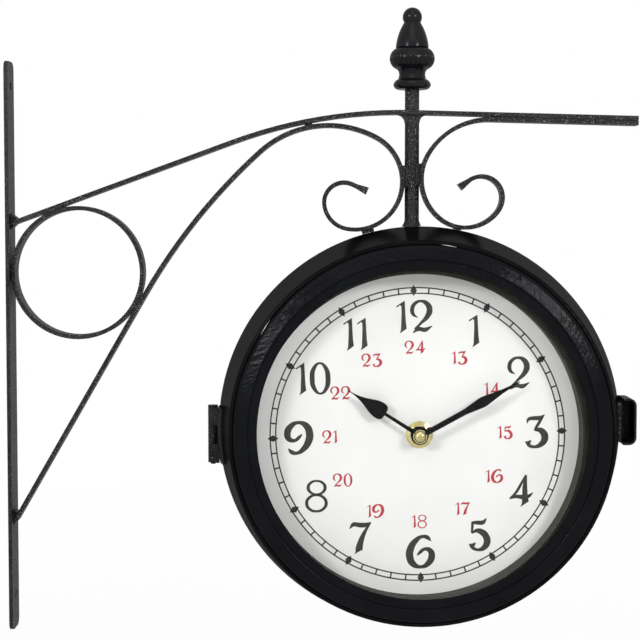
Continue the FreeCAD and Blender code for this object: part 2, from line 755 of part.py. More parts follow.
def make_welds(label, arm, brace, tail, centre, solids):
    strap_face = float(s.strap_thick)
    arm_line, brace_line, tail_line = centre_line(arm), centre_line(brace), centre_line(tail)
    ring_line = circle_in_plane(centre[0], centre[1], float(s.ring_radius - half_bar))
    case_line = circle_in_plane(float(case_x), float(case_z), float(rim_radius) - 1.0)
    strap_line = line_in_plane(strap_face, float(s.hole_spacing) / 2, strap_face, -float(s.hole_spacing) / 2)
    tail_run = line_in_plane(*tail.pieces[0][1], *tail.pieces[1][1])
    leg = float(s.fillet_leg)
    reach = float(s.weld_reach)

    blocks = [
        weld_between(ring_line, strap_line, 2 * reach),
        weld_between(ring_line, arm_line, 2 * reach),
        weld_between(ring_line, brace_line, 2 * reach),
        weld_between(brace_line, arm_line),
        rod_weld(brace, -1),
        rod_weld(tail, 1),
        weld_between(scroll_only(brace), case_line, 1.5 * reach),
        weld_between(scroll_only(tail), case_line),
        end_weld(tail_run, arm, 0.02),
        end_weld(tail_run, arm, 0.96),
    ]
    for path in (arm, brace):
        x, z = path.pieces[0][1]
        a = math.radians(path.pieces[0][2])
        top = z + float(half_bar) * math.cos(a)
        under = z - float(half_bar) * math.cos(a)
        tip = (x + leg * math.cos(a), z + leg * math.sin(a))
        blocks.append(weld_block([(strap_face, top + leg), tip, (x, z), (strap_face, z)]))
        blocks.append(weld_block([(strap_face, z), (x, z), tip, (strap_face, under - leg / 2)]))
    arm_under = float(s.arm_height - half_bar)
    for side in (-1, 1):
        edge = float(s.rod_reach) + side * float(rod_radius)
        blocks.append(weld_block(concave_gusset(edge, arm_under, side)))
    tools = solids + [case_envelope(s.seat_gap)]
    welds = []
    for block in blocks:
        left = block.cut(tools)
        keep = max(left.Solids, key=lambda solid: solid.Volume)
        welds.append(keep)
    return feature_of(label, Part.makeCompound(welds))


def rod_weld(scroll, side):
    """A tab between the rod and the scroll on that side of it."""
    x, z = scroll.heads(-90.0)
    middle = z + float(s.cheek_weld_rise)
    half = float(s.cheek_weld) / 2
    inside = float(s.rod_reach) + side * float(rod_radius) / 2
    low, high = middle - half, middle + half
    return weld_block([(inside, low), (x, low), (x, high), (inside, high)])


def concave_gusset(edge, level, side):
    """The outline of a weld in the corner between the arm and a rod, its free side hollow."""
    leg = float(s.fillet_leg)
    depth = float(rod_radius) / 2
    corners = [(edge - side * depth, level - leg), (edge - side * depth, level + float(s.weld_reach)),
               (edge + side * leg, level + float(s.weld_reach))]
    steps = 6
    for i in range(steps + 1):
        a = math.radians(90.0 * i / steps)
        corners.append((edge + side * leg * (1 - math.sin(a)), level - leg * (1 - math.cos(a))))
    return corners


def scroll_only(path):
    """The bends of a scroll that pass nearest to the case."""
    return Part.Wire([piece_edge(piece, 0.0) for piece in path.pieces[3:-1]])


def end_weld(tail_run, arm, share):
    """Fills the gap between the tail bar and the arm, a share of the way along the tail's run."""
    first, last = tail_run.Vertexes[0].Point, tail_run.Vertexes[1].Point
    along = (last - first).normalize()
    middle = first + (last - first) * share
    up = Vector(-along.z, 0, along.x)
    if up.z < 0:
        up = -up
    gap = float(s.tail_gap + s.bar_thick)
    half = float(s.weld_reach)
    near = middle - along * half
    far = middle + along * half
    if share < 0.5:
        near = first
    return weld_block([(v.x, v.z) for v in (near, far, far + up * gap, near + up * gap)])


# --- bracket -----------------------------------------------------------------------------------------

def make_strap():
    body = new_body("wall_strap")
    half_width = s.strap_width / 2
    top = s.hole_spacing / 2 + s.strap_above
    bottom = -(s.hole_spacing / 2) - s.strap_below
    outline = [(-half_width, bottom), (half_width, bottom), (half_width, top), (-half_width, top)]
    holes = [(0, s.hole_spacing / 2, s.hole_dia / 2), (0, -(s.hole_spacing / 2), s.hole_dia / 2)]
    plate = pad(body, add_sketch(body, "YZ_Plane", [outline], holes), s.strap_thick)
    doc.recompute()

    def is_corner(edge):
        line = isinstance(edge.Curve, Part.Line) and abs(edge.Length - float(s.strap_thick)) < 1e-4
        return line and abs(abs(edge.Vertexes[0].Y) - float(half_width)) < 1e-4

    round_edges(body, plate, is_corner, s.strap_corner)
    return body


def make_hanger_rod():
    """Round bar from the arm's underside down to the case, its hollow-sided foot cut to the case."""
    whole = rod(rod_radius, case_z, s.arm_height - half_bar - s.rod_seat, s.rod_reach, 0)
    low = float(case_z + rim_radius) - 1.0
    radius, wide, tall = float(rod_radius), float(s.foot_flare), float(s.foot_flare_height)
    base = Vector(radius + wide, 0, low)
    hollow = Vector(radius + wide * 0.28, 0, low + tall * 0.32)
    top = Vector(radius, 0, low + tall)
    outline = [
        Part.Arc(base, hollow, top).toShape(),
        Part.LineSegment(top, Vector(0, 0, low + tall)).toShape(),
        Part.LineSegment(Vector(0, 0, low + tall), Vector(0, 0, low)).toShape(),
        Part.LineSegment(Vector(0, 0, low), base).toShape(),
    ]
    flare = Part.Face(Part.Wire(outline)).revolve(Vector(0, 0, 0), Vector(0, 0, 1), 360)
    flare.translate(Vector(float(s.rod_reach), 0, 0))
    shape = whole.fuse(flare).cut(case_envelope(s.seat_gap)).removeSplitter()
    upper = max(shape.Solids, key=lambda solid: solid.BoundBox.ZMax)
    return feature_of("hanger_rod", upper)


def make_finial_post():
    post = doc.addObject("Part::Cylinder", "finial_post")
    post.Label = "finial_post"
    bind(post, "Radius", rod_radius)
    bind(post, "Height", s.post_show + s.post_socket - s.rod_seat)
    set_place(post, Rotation(), s.rod_reach, 0, s.arm_height + half_bar + s.rod_seat)
    return post


def make_finial():
    """A turned acorn on a foot, with flutes down the side of its bulb."""
    foot_r, foot_h = float(s.foot_radius), float(s.foot_height)
    waist_r, waist_h = float(s.waist_radius), float(s.waist_height)
    bulb_r, bulb_h = float(s.bulb_radius), float(s.bulb_height)
    bend = float(s.bulb_bend)
    cone_r = float(s.cone_radius)
    neck_r, neck_h = float(s.neck_radius), float(s.neck_height)
    ball_r = float(s.ball_radius)
    ball_h = neck_h + math.sqrt(ball_r ** 2 - neck_r ** 2)
    bore = float(rod_radius + s.post_fit)
    socket = float(s.post_socket)
    under_r = (bore + foot_r) / 2
    step = 0.35
    bend_x = bulb_r - bend

    def at(radius, height):
        return Vector(radius, 0, height)

    def line(a, b):
        return Part.LineSegment(a, b).toShape()

    def arc(a, via, b):
        return Part.Arc(a, via, b).toShape()

    def half_height(radius):
        """From the bulb's widest level to where its side has this radius."""
        return math.sqrt(bend ** 2 - (radius - bend_x) ** 2)

    top_h = bulb_h + half_height(cone_r)
    low_r = waist_r + float(s.bulb_root)
    foot_low = at(under_r, 0)
    foot_edge = at(foot_r, foot_h)
    collar = at(waist_r + 0.6, (foot_h + waist_h) / 2 + 0.5)
    waist = at(waist_r, waist_h)
    throat = at(waist_r + 0.3, float(s.bulb_base))
    bulb_low = at(low_r, bulb_h - half_height(low_r))
    bulb_high = at(cone_r, top_h)
    groove = at(cone_r - step, top_h + step)
    cone_low = at(cone_r, top_h + 2 * step)
    neck = at(neck_r, neck_h)
    ball_top = at(0, ball_h + ball_r)
    edges = [
        line(at(0, socket), at(bore, socket)),
        line(at(bore, socket), at(bore, 0)),
        line(at(bore, 0), foot_low),
        arc(foot_low, at(foot_r - 0.8, foot_h * 0.36), foot_edge),
        arc(foot_edge, at(foot_r - 0.8, foot_h + 1.7), collar),
        line(collar, waist),
        line(waist, throat),
        line(throat, bulb_low),
        arc(bulb_low, at(bulb_r, bulb_h), bulb_high),
        line(bulb_high, groove),
        line(groove, cone_low),
        arc(cone_low, at((cone_r + neck_r) / 2 + 0.9, (top_h + neck_h) / 2 + 0.6), neck),
        arc(neck, at(ball_r, ball_h), ball_top),
        line(ball_top, at(0, socket)),
    ]
    turned = Part.Face(Part.Wire(edges)).revolve(Vector(0, 0, 0), Vector(0, 0, 1), 360)
    shape = turned.cut(flute_cutters(bend_x, bulb_h + step))
    place = Placement(Vector(float(s.rod_reach), 0, float(s.arm_height + half_bar + s.post_show)), Rotation())
    return feature_of("finial", shape.Solids[0], place)


def flute_cutters(centre_radius, centre_height):
    """Rings' segments that follow the round side of the bulb, one for each flute."""
    cutter_r = float(s.flute_radius)
    path_r = float(s.bulb_bend) + cutter_r - float(s.flute_depth)
    a = math.radians(float(s.flute_above))
    centre = Vector(centre_radius, 0, centre_height)
    start = centre + Vector(path_r * math.cos(a), 0, path_r * math.sin(a))
    profile = Part.Face(Part.Wire(Part.makeCircle(cutter_r, start, Vector(-math.sin(a), 0, math.cos(a)))))
    cutter = profile.revolve(centre, Vector(0, 1, 0), float(s.flute_above + s.flute_below))
    count = round(float(s.flute_count))
    cutters = []
    for i in range(count):
        copy = cutter.copy()
        copy.rotate(Vector(0, 0, 0), Vector(0, 0, 1), 360.0 * (i + 0.5) / count)
        cutters.append(copy)
    return cutters


def make_bracket():
    strap = make_strap()
    arm = arm_path()
    brace = fit_scroll(brace_path, s.brace_foot_gap)
    tail = fit_scroll(tail_path, s.tail_foot_gap)
    centre = ring_centre(arm)
    bars = [
        make_bar("arm_bar", arm),
        make_bar("brace_bar", brace, flared=True),
        make_bar("tail_bar", tail, flared=True),
        make_ring("corner_ring", centre),
    ]
    rods = [make_hanger_rod(), make_finial_post()]
    doc.recompute()
    solids = [thing.Shape for thing in [strap] + bars + rods]
    welds = make_welds("bracket_welds", arm, brace, tail, centre, solids)
    return [strap] + bars + rods + [make_finial(), welds]


# --- case and hinge -----------------------------------------------------------------------------------

class Face:
    """One of the two dials' sides: its name, its direction along Y and its rotation.

    On both sides a sub-part is modelled with X to the viewer's right, Y up and Z towards the viewer.
    """

    def __init__(self, name, direction):
        self.name = name
        self.direction = direction
        upright = Rotation(Vector(1, 0, 0), 90)
        self.rotation = upright if direction < 0 else Rotation(Vector(0, 0, 1), 180) * upright

    def place(self, thing, depth=0.0, x=0.0, y=0.0, clockwise=0.0):
        """Depth is measured from the seam plane towards the viewer."""
        turned = self.rotation * Rotation(Vector(0, 0, 1), -float(clockwise))
        across = case_x - x * float(self.direction)
        set_place(thing, turned, across, depth * float(self.direction), case_z + y)
        return thing

    def on_spindle(self, thing, depth=0.0, x=0.0, y=0.0, clockwise=0.0):
        """Like place, with x and y from the spindle."""
        return self.place(thing, depth, x - s.spindle_left, y - s.spindle_drop, clockwise)


def make_case_half(face):
    body = new_body("case_" + face.name)
    wall = s.sheet_thick
    outline = [
        (rim_radius, seam),
        (rim_radius, s.rim_land),
        (front_radius, case_depth),
        (mouth_radius, case_depth),
        (mouth_radius, case_depth - wall),
        (front_radius - wall, case_depth - wall),
        (rim_radius - wall, s.rim_land),
        (rim_radius - wall, seam),
    ]
    shell = revolve(body, add_sketch(body, "XZ_Plane", [outline]))
    round_edges(body, shell, is_ring(front_radius, case_depth), s.edge_round)
    return face.place(body)


def barrel(low, high):
    """A piece of the hinge barrel, with its bore, about the hinge axis."""
    outside = rod(s.knuckle_dia / 2, low, high, -hinge_radius, 0)
    return outside.cut(rod(s.hinge_pin_dia / 2 + s.run_fit, low, high, -hinge_radius, 0))


def make_hinge_leaf(face, levels):
    """A curved leaf on the case and its knuckles, seen from the front with the hinge on the left."""
    rim = float(rim_radius + s.skin_gap)
    slope = float(cone_slope)
    land = float(s.rim_land)
    near, far = float(s.leaf_setback), float(s.leaf_reach)
    thick = float(s.leaf_thick)
    side = face.direction
    inner = [(rim - (d - land) * slope, side * d) for d in (near, far)]
    outer = [(r + thick, y) for r, y in reversed(inner)]
    points = [Vector(-r, y, 0) for r, y in inner + outer]
    spread = math.degrees(2 * math.asin(float(s.hinge_height) / 2 / rim))
    leaf = Part.Face(Part.makePolygon(points + points[:1]))
    leaf.rotate(Vector(0, 0, 0), Vector(0, 1, 0), -spread / 2)
    leaf = leaf.revolve(Vector(0, 0, 0), Vector(0, 1, 0), spread)
    drop = -float(s.hinge_drop)
    tilt = math.degrees(math.asin(float(s.hinge_drop) / rim))
    leaf.rotate(Vector(0, 0, 0), Vector(0, 1, 0), -tilt)
    centre = float(hinge_radius)
    pin_wall = float(s.hinge_pin_dia / 2 + s.run_fit + s.neck_wall)
    half_neck = float(s.neck_width) / 2
    neck_edge = side * (near + float(s.neck_setback))
    neck_root = -rim + float(s.neck_sunk)
    pieces = []
    for low, high in levels:
        knuckle = barrel(drop + low, drop + high)
        corners = [(-rim - thick, neck_edge), (neck_root, neck_edge),
                   (-centre + half_neck, side * pin_wall), (-centre - half_neck, side * pin_wall)]
        neck = prism(corners, drop + low, drop + high)
        pieces += [knuckle, neck]
    shape = leaf.multiFuse(pieces)
    shape = shape.cut(rod(s.hinge_pin_dia / 2 + s.run_fit, -200, 200, -hinge_radius, 0))
    envelope = case_envelope(s.skin_gap)
    envelope.translate(Vector(-float(case_x), 0, -float(case_z)))
    shape = shape.cut(envelope)
    biggest = max(shape.Solids, key=lambda solid: solid.Volume)
    place = Placement(Vector(float(case_x), 0, float(case_z)), Rotation())
    return feature_of("hinge_leaf_" + face.name, biggest, place)


def make_hinge(front, rear):
    third = float(s.hinge_height) / 3
    half_gap = float(s.knuckle_gap) / 2
    low = [(-1.5 * third, -0.5 * third - half_gap)]
    middle = [(-0.5 * third + half_gap, 0.5 * third - half_gap)]
    high = [(0.5 * third + half_gap, 1.5 * third)]
    leaf_front = make_hinge_leaf(front, low + high)
    leaf_rear = make_hinge_leaf(rear, middle)
    pin_radius = s.hinge_pin_dia / 2
    half = s.hinge_height / 2
    shank = rod(pin_radius, -half - s.pin_head, half, -hinge_radius, 0)
    head = rod(s.knuckle_dia / 2, half, half + s.pin_head, -hinge_radius, 0)
    place = Placement(Vector(float(case_x), 0, float(case_z - s.hinge_drop)), Rotation())
    pin = feature_of("hinge_pin", shank.fuse(head).removeSplitter(), place)
    return [leaf_front, leaf_rear, pin]


def make_strike_plate():
    """On the front case, with a tongue that reaches over the seam into the catch."""
    rim = float(rim_radius)
    slope = float(cone_slope)
    base, tongue = float(s.strike_base), float(s.strike_tongue)
    thick, lift = float(s.strike_thick), float(s.strike_lift)
    land = float(s.rim_land)
    base_top = rim - (base - land) * slope + thick
    inside = base_top - thick - float(s.strike_sunk)
    root = -float(s.strike_root)
    half_bend = float(s.strike_bend) / 2
    corners = [(inside, -base), (base_top, -base), (rim + thick, -land - half_bend),
               (rim + lift + thick, -land + half_bend), (rim + lift + thick, tongue),
               (rim + lift, tongue), (rim + lift, root), (inside, root)]
    half = float(s.strike_height) / 2
    rise = float(s.catch_rise)
    block = prism(corners, rise - half, rise + half)
    envelope = case_envelope(s.skin_gap)
    envelope.translate(Vector(-float(case_x), 0, -float(case_z)))
    left = block.cut(envelope)
    outer = max(left.Solids, key=lambda solid: solid.BoundBox.XMax)
    return feature_of("strike_plate", outer, Placement(Vector(float(case_x), 0, float(case_z)), Rotation()))


def make_catch_strap():
    """A folded channel on the rear case that reaches forward over the strike plate."""
    rim = float(rim_radius)
    wall, stand = float(s.catch_wall), float(s.catch_stand)
    front, rear = -float(s.catch_front), float(s.catch_rear)
    foot = float(s.catch_foot)
    half = float(s.catch_height) / 2
    rise = float(s.catch_rise)
    bend = float(s.catch_round)
    sunk = float(s.catch_sunk)

    def channel(shrink, y0, y1):
        box = Part.makeBox(stand + sunk - shrink, y1 - y0, 2 * (half - shrink),
                           Vector(rim - sunk, y0, rise - half + shrink))
        edges = [e for e in box.Edges if abs(e.Vertexes[0].X - e.Vertexes[1].X) < 1e-6
                 and abs(e.Vertexes[0].Z - e.Vertexes[1].Z) < 1e-6 and e.Vertexes[0].X > rim]
        return box.makeFillet(bend - shrink, edges)

    shell = channel(0.0, front, rear).cut(channel(wall, front - 1, rear - wall))
    corner = Vector(0, front - 1, rise - 2 * half)
    keep_out = Part.makeBox(rim + float(s.catch_lift), rear - wall - front + 1, 4 * half, corner)
    shell = shell.cut(keep_out)
    slope = float(cone_slope)
    land = float(s.rim_land)
    raised = wall + float(s.catch_foot_lift)
    foot_top = [(rim - (y - land) * slope + raised, y) for y in (rear - wall, rear + foot)]
    foot_inside = rim - float(s.catch_foot_sunk)
    corners = [(foot_inside, rear - wall), foot_top[0], foot_top[1], (foot_inside, rear + foot)]
    plate = prism(corners, rise - half + bend, rise + half - bend)
    envelope = case_envelope(s.skin_gap)
    envelope.translate(Vector(-float(case_x), 0, -float(case_z)))
    left = shell.fuse(plate).cut(envelope).removeSplitter()
    outer = max(left.Solids, key=lambda solid: solid.BoundBox.XMax)
    return feature_of("catch_strap", outer, Placement(Vector(float(case_x), 0, float(case_z)), Rotation()))


# --- bezel, glass and dial ------------------------------------------------------------------------------

def make_bezel(face):
    body = new_body(face.name + "_bezel")
    wall = s.sheet_thick
    drop = wall * 1.15
    outline = [
        (skirt_radius, skirt_depth),
        (skirt_radius, shoulder_depth),
        (crown_radius, crown_depth),
        (crown_radius, step_depth),
        (s.lip_radius, step_depth),
        (s.lip_radius, lip_back),
        (crown_radius + wall, lip_back),
        (crown_radius + wall, crown_depth - drop),
        (skirt_inside, shoulder_depth - drop),
        (skirt_inside, skirt_depth),
    ]
    ring = revolve(body, add_sketch(body, "XZ_Plane", [outline]))
    ring = round_edges(body, ring, is_ring(skirt_radius, shoulder_depth), s.shoulder_round)
    round_edges(body, ring, is_ring(crown_radius, crown_depth), wall * 0.7)
    return face.place(body)


def make_disc(face, name, radius, thick, depth, holes=()):
    body = new_body(face.name + "_" + name)
    pad(body, add_sketch(body, "XY_Plane", (), [(0, 0, radius)] + list(holes)), thick)
    return face.place(body, depth)


def make_spacer(face):
    body = new_body(face.name + "_spacer")
    outline = [(spacer_inside, dial_depth), (spacer_outside, dial_depth),
               (spacer_outside, glass_back), (spacer_inside, glass_back)]
    revolve(body, add_sketch(body, "XZ_Plane", [outline]))
    return face.place(body, 0.0, -s.spacer_left, -s.spacer_sink)


def clip_angles():
    count = round(float(s.clip_count))
    return [45.0 + 360.0 * i / count for i in range(count)]


def make_dial(face):
    holes = [(-s.spindle_left, -s.spindle_drop, s.bush_dia / 2 + s.run_fit)]
    for angle in clip_angles():
        a = math.radians(angle)
        reach = screw_circle
        holes.append((reach * math.cos(a), reach * math.sin(a), s.screw_dia / 2 + s.run_fit))
    return make_disc(face, "dial", dial_radius, s.dial_thick, dial_back, holes)


def round_the_dial(shape):
    """Copies a shape to every bracket's angle."""
    copies = []
    for angle in clip_angles():
        copy = shape.copy()
        copy.rotate(Vector(0, 0, 0), Vector(0, 0, 1), angle)
        copies.append(copy)
    return Part.makeCompound(copies)


def make_dial_brackets(face):
    """L-shaped brackets: a foot behind the dial and a leg along the inside of the bezel's skirt."""
    half = float(s.clip_width) / 2
    outer_corner = float(skirt_inside - s.clip_inset)
    outside = math.sqrt(outer_corner ** 2 - half ** 2)
    inside = outside - float(s.clip_thick)
    foot_inside = float(screw_circle) - half
    back = float(dial_back - s.clip_thick)
    foot = Part.makeBox(outside - foot_inside, 2 * half, float(s.clip_thick), Vector(foot_inside, -half, back))
    leg_top = float(skirt_depth) + float(shoulder_depth - skirt_depth) / 2
    leg = Part.makeBox(outside - inside, 2 * half, leg_top - back, Vector(inside, -half, back))
    hole = rod(s.screw_dia / 2 + s.run_fit, back - 1, back + float(s.clip_thick) + 1, screw_circle, 0)
    bracket = foot.fuse(leg).cut(hole).removeSplitter()
    return face.place(feature_of(face.name + "_dial_brackets", round_the_dial(bracket)))


def make_dial_screws(face):
    back = dial_back - s.clip_thick
    shank = rod(s.screw_dia / 2, back, dial_back + s.screw_bite, screw_circle, 0)
    head = rod(s.screw_head_dia / 2, back - s.screw_head_height, back, screw_circle, 0)
    slot_depth = float(s.screw_head_height) / 3
    slot = Part.makeBox(float(s.screw_head_dia) + 1, slot_depth, slot_depth)
    slot.translate(Vector(float(screw_circle - s.screw_head_dia / 2) - 0.5, -slot_depth / 2,
                          float(back - s.screw_head_height)))
    screw = head.fuse(shank).cut(slot).removeSplitter()
    return face.place(feature_of(face.name + "_dial_screws", round_the_dial(screw)))


# --- movement ---------------------------------------------------------------------------------------------

def make_movement_case(face):
    """A square tray with a threaded bush in front and a bay for the battery below."""
    body = new_body(face.name + "_movement_case")
    half = movement_half
    inner = half - s.movement_wall
    rib = bay_top + s.movement_wall
    square = [(-half, -half), (half, -half), (half, half), (-half, half)]
    block = pad(body, add_sketch(body, "XY_Plane", [square]), movement_depth)
    doc.recompute()

    def is_upright(edge):
        line = isinstance(edge.Curve, Part.Line) and abs(edge.Length - float(movement_depth)) < 1e-4
        return line and edge.Vertexes[0].X ** 2 + edge.Vertexes[0].Y ** 2 > float(half) ** 2

    round_edges(body, block, is_upright, s.movement_round)
    room = [(-inner, rib), (inner, rib), (inner, inner), (-inner, inner)]
    bay = [(-inner, -inner), (inner, -inner), (inner, bay_top), (-inner, bay_top)]
    pocket(body, add_sketch(body, "XY_Plane", [room, bay]), movement_depth - s.movement_wall, backwards=True)
    bush = add_sketch(body, "XY_Plane", (), [(0, 0, s.bush_dia / 2)])
    bush.AttachmentOffset = Placement(Vector(0, 0, float(movement_depth)), Rotation())
    bush.setExpression("AttachmentOffset.Base.z", movement_depth.formula)
    pad(body, bush, s.dial_thick + bush_show)
    pocket(body, add_sketch(body, "XY_Plane", (), [(0, 0, bush_inside)]))
    post = add_sketch(body, "XY_Plane", (), [(0, motion_distance, s.post_dia / 2)])
    post_back = motion_gear_back - movement_back - s.gear_air
    post.AttachmentOffset = Placement(Vector(0, 0, float(post_back)), Rotation())
    post.setExpression("AttachmentOffset.Base.z", post_back.formula)
    pad(body, post, movement_front_inside - movement_back - post_back)
    return face.on_spindle(body, movement_back)


def make_movement_lid(face):
    """Closes the gear room, with bosses for the minute arbor and the setting shaft."""
    clear = s.run_fit * 2
    inner = movement_half - s.movement_wall - clear
    rib = bay_top + s.movement_wall + clear
    body = new_body(face.name + "_movement_lid")
    plate = [(-inner, rib), (inner, rib), (inner, inner), (-inner, inner)]
    pad(body, add_sketch(body, "XY_Plane", [plate]), s.movement_wall)
    boss = s.knob_shaft / 2 + s.movement_wall
    spots = [(0, 0, boss), (motion_distance, motion_distance, boss)]
    pad(body, add_sketch(body, "XY_Plane", (), spots), motion_gear_back - movement_back - s.gear_air)
    bores = [(0, 0, s.pivot_dia / 2 + s.run_fit),
             (motion_distance, motion_distance, s.knob_shaft / 2 + s.run_fit)]
    pocket(body, add_sketch(body, "XY_Plane", (), bores))
    return face.on_spindle(body, movement_back)


def battery_depth():
    """The battery lies against the front wall of its bay."""
    return movement_front_inside - s.battery_dia / 2 - s.battery_air


def make_battery(face):
    body = new_body(face.name + "_battery")
    radius = s.battery_dia / 2
    nub = s.button_dia / 2
    half = s.battery_length / 2
    outline = [(0, -half), (radius, -half), (radius, half - s.button_height), (nub, half - s.button_height),
               (nub, half), (0, half)]
    can = revolve(body, add_sketch(body, "XZ_Plane", [outline]))
    round_edges(body, can, is_ring(radius, -half), s.button_height)
    lying = Rotation(Vector(0, 1, 0), 90)
    depth = battery_depth() * float(face.direction)
    across = case_x + s.spindle_left * float(face.direction)
    set_place(body, face.rotation * lying, across, depth, case_z - s.spindle_drop + battery_y)
    return body


def make_battery_contacts(face):
    """A plate at each end of the bay, with a button that presses on the battery."""
    end = float(movement_half - s.movement_wall)
    thick, tall = float(s.contact_thick), float(s.contact_height)
    depth, level = float(battery_depth()), float(battery_y)
    battery_end = float(s.battery_length) / 2
    contacts = []
    for side in (-1, 1):
        near = end if side > 0 else -end + thick
        plate = Part.makeBox(thick, tall, tall, Vector(near - thick, level - tall / 2, depth - tall / 2))
        start = Vector(side * (end - thick), level, depth)
        reach = end - thick - battery_end
        button = Part.makeCylinder(float(s.button_dia) / 2, reach, start, Vector(-side, 0, 0))
        contacts.append(plate.fuse(button).removeSplitter())
    return face.on_spindle(feature_of(face.name + "_battery_contacts", Part.makeCompound(contacts)))


def gear(teeth, low, high, tooth_at):
    """A spur gear with straight-sided teeth, one of them centred on the given angle in degrees."""
    count = round(float(teeth))
    module = float(s.gear_module)
    root = module * (count / 2 - 1.15)
    tip = module * (count / 2 + 0.85)
    half = 180.0 / count / 2
    steps = ((root, -1.25), (tip, -0.5), (tip, 0.5), (root, 1.25))
    corners = []
    for i in range(count):
        for radius, share in steps:
            a = math.radians(tooth_at + 360.0 * i / count + half * share * 0.9)
            corners.append((radius * math.cos(a), radius * math.sin(a)))
    return prism(corners, low, high)


def make_minute_arbor(face):
    """The centre arbor, with its pinion and the rear pivot."""
    gear_low, gear_high = motion_gear_back, motion_gear_back + s.gear_thick
    front = minute_depth + s.hand_thick + s.cap_height / 3
    shape = rod(s.pivot_dia / 2, movement_back, gear_low)
    pinion = gear(arbor_teeth, gear_low - s.gear_air / 3, gear_high, 90.0)
    shape = shape.multiFuse([rod(s.arbor_dia / 2, gear_low - s.gear_air / 3, front), pinion]).removeSplitter()
    return face.on_spindle(feature_of(face.name + "_minute_arbor", shape))


def make_motion_wheel(face):
    """Wheel and pinion on the fixed post above the arbor."""
    low = motion_gear_back
    middle = low + s.gear_thick
    high = hour_gear_back + s.gear_thick
    wheel = gear(motion_teeth, low, middle, 270.0 + 180.0 / float(motion_teeth))
    pinion = gear(pinion_teeth, middle, high, 270.0 + 180.0 / float(pinion_teeth))
    bore = rod(s.post_dia / 2 + s.run_fit, low - 1, high + 1)
    shape = wheel.fuse(pinion).cut(bore).removeSplitter()
    return face.on_spindle(feature_of(face.name + "_motion_wheel", shape), 0.0, 0.0, motion_distance)


def make_hour_wheel(face):
    """Hour wheel with the pipe that carries the hour hand."""
    low = hour_gear_back
    high = low + s.gear_thick
    shape = gear(hour_teeth, low, high, 90.0).fuse(rod(s.pipe_dia / 2, low, pipe_front))
    shape = shape.cut(rod(pipe_inside, low - 1, pipe_front + 1)).removeSplitter()
    return face.on_spindle(feature_of(face.name + "_hour_wheel", shape))


def setter_phase():
    """The angle at which the setting pinion has a tooth, in mesh with the motion wheel on its left."""
    wheel_pitch = 360.0 / float(motion_teeth)
    wheel_tooth = (270.0 + wheel_pitch / 2) % wheel_pitch
    return 180.0 - wheel_tooth * float(motion_teeth / arbor_teeth) + 180.0 / float(arbor_teeth)


def make_setting_knob(face):
    """A knob behind the lid, its shaft and the pinion that turns the motion wheel."""
    gear_low, gear_high = motion_gear_back - s.gear_air / 3, motion_gear_back + s.gear_thick
    knob_front = movement_back - s.knob_air
    knob_back = knob_front - s.knob_height
    knob = rod(s.knob_dia / 2, knob_back, knob_front)
    notch = float(s.knob_dia) / 12
    grips = []
    count = round(float(s.grip_count))
    for i in range(count):
        a = 2 * math.pi * i / count
        spot = (float(s.knob_dia) / 2 * math.cos(a), float(s.knob_dia) / 2 * math.sin(a))
        grips.append(rod(notch / 2, float(knob_back) - 1, float(knob_front) + 1, spot[0], spot[1]))
    shaft = rod(s.knob_shaft / 2, knob_front, gear_high)
    pinion = gear(arbor_teeth, gear_low, gear_high, setter_phase())
    shape = knob.cut(grips).multiFuse([shaft, pinion]).removeSplitter()
    feature = feature_of(face.name + "_setting_knob", shape)
    return face.on_spindle(feature, 0.0, motion_distance, motion_distance)


# --- brass and hands ---------------------------------------------------------------------------------------

def make_washer(face):
    """A dished washer: its rim lies on the dial and its middle stands under the nut."""
    body = new_body(face.name + "_dial_washer")
    inside = s.bush_dia / 2 + s.run_fit
    flat = nut_flats / 2
    low, high = dial_depth, dial_depth + s.washer_rise
    thick = s.washer_thick
    outside = s.washer_radius
    outline = [(inside, high - thick), (flat, high - thick), (outside - thick, low), (outside, low),
               (outside, low + thick / 2), (flat, high), (inside, high)]
    revolve(body, add_sketch(body, "XZ_Plane", [outline]))
    return face.on_spindle(body)


def make_spindle_nut(face):
    body = new_body(face.name + "_spindle_nut")
    across = nut_flats / math.cos(math.radians(30)) / 2
    turns = [math.radians(60 * i) for i in range(6)]
    outline = [(across * math.cos(turn), across * math.sin(turn)) for turn in turns]
    hole = (0, 0, s.bush_dia / 2 + s.run_fit)
    pad(body, add_sketch(body, "XY_Plane", [outline], [hole]), s.nut_height)
    return face.on_spindle(body, nut_back)


def hand_blade(points):
    """A closed outline of (x, y) corners joined by straight lines, mirrored about the hand's axis."""
    return points + [(-x, y) for x, y in reversed(points)]


def spline_half(points, sign):
    curve = Part.BSplineCurve()
    curve.interpolate([Vector(sign * x, y, 0) for x, y in points])
    return curve.toShape()


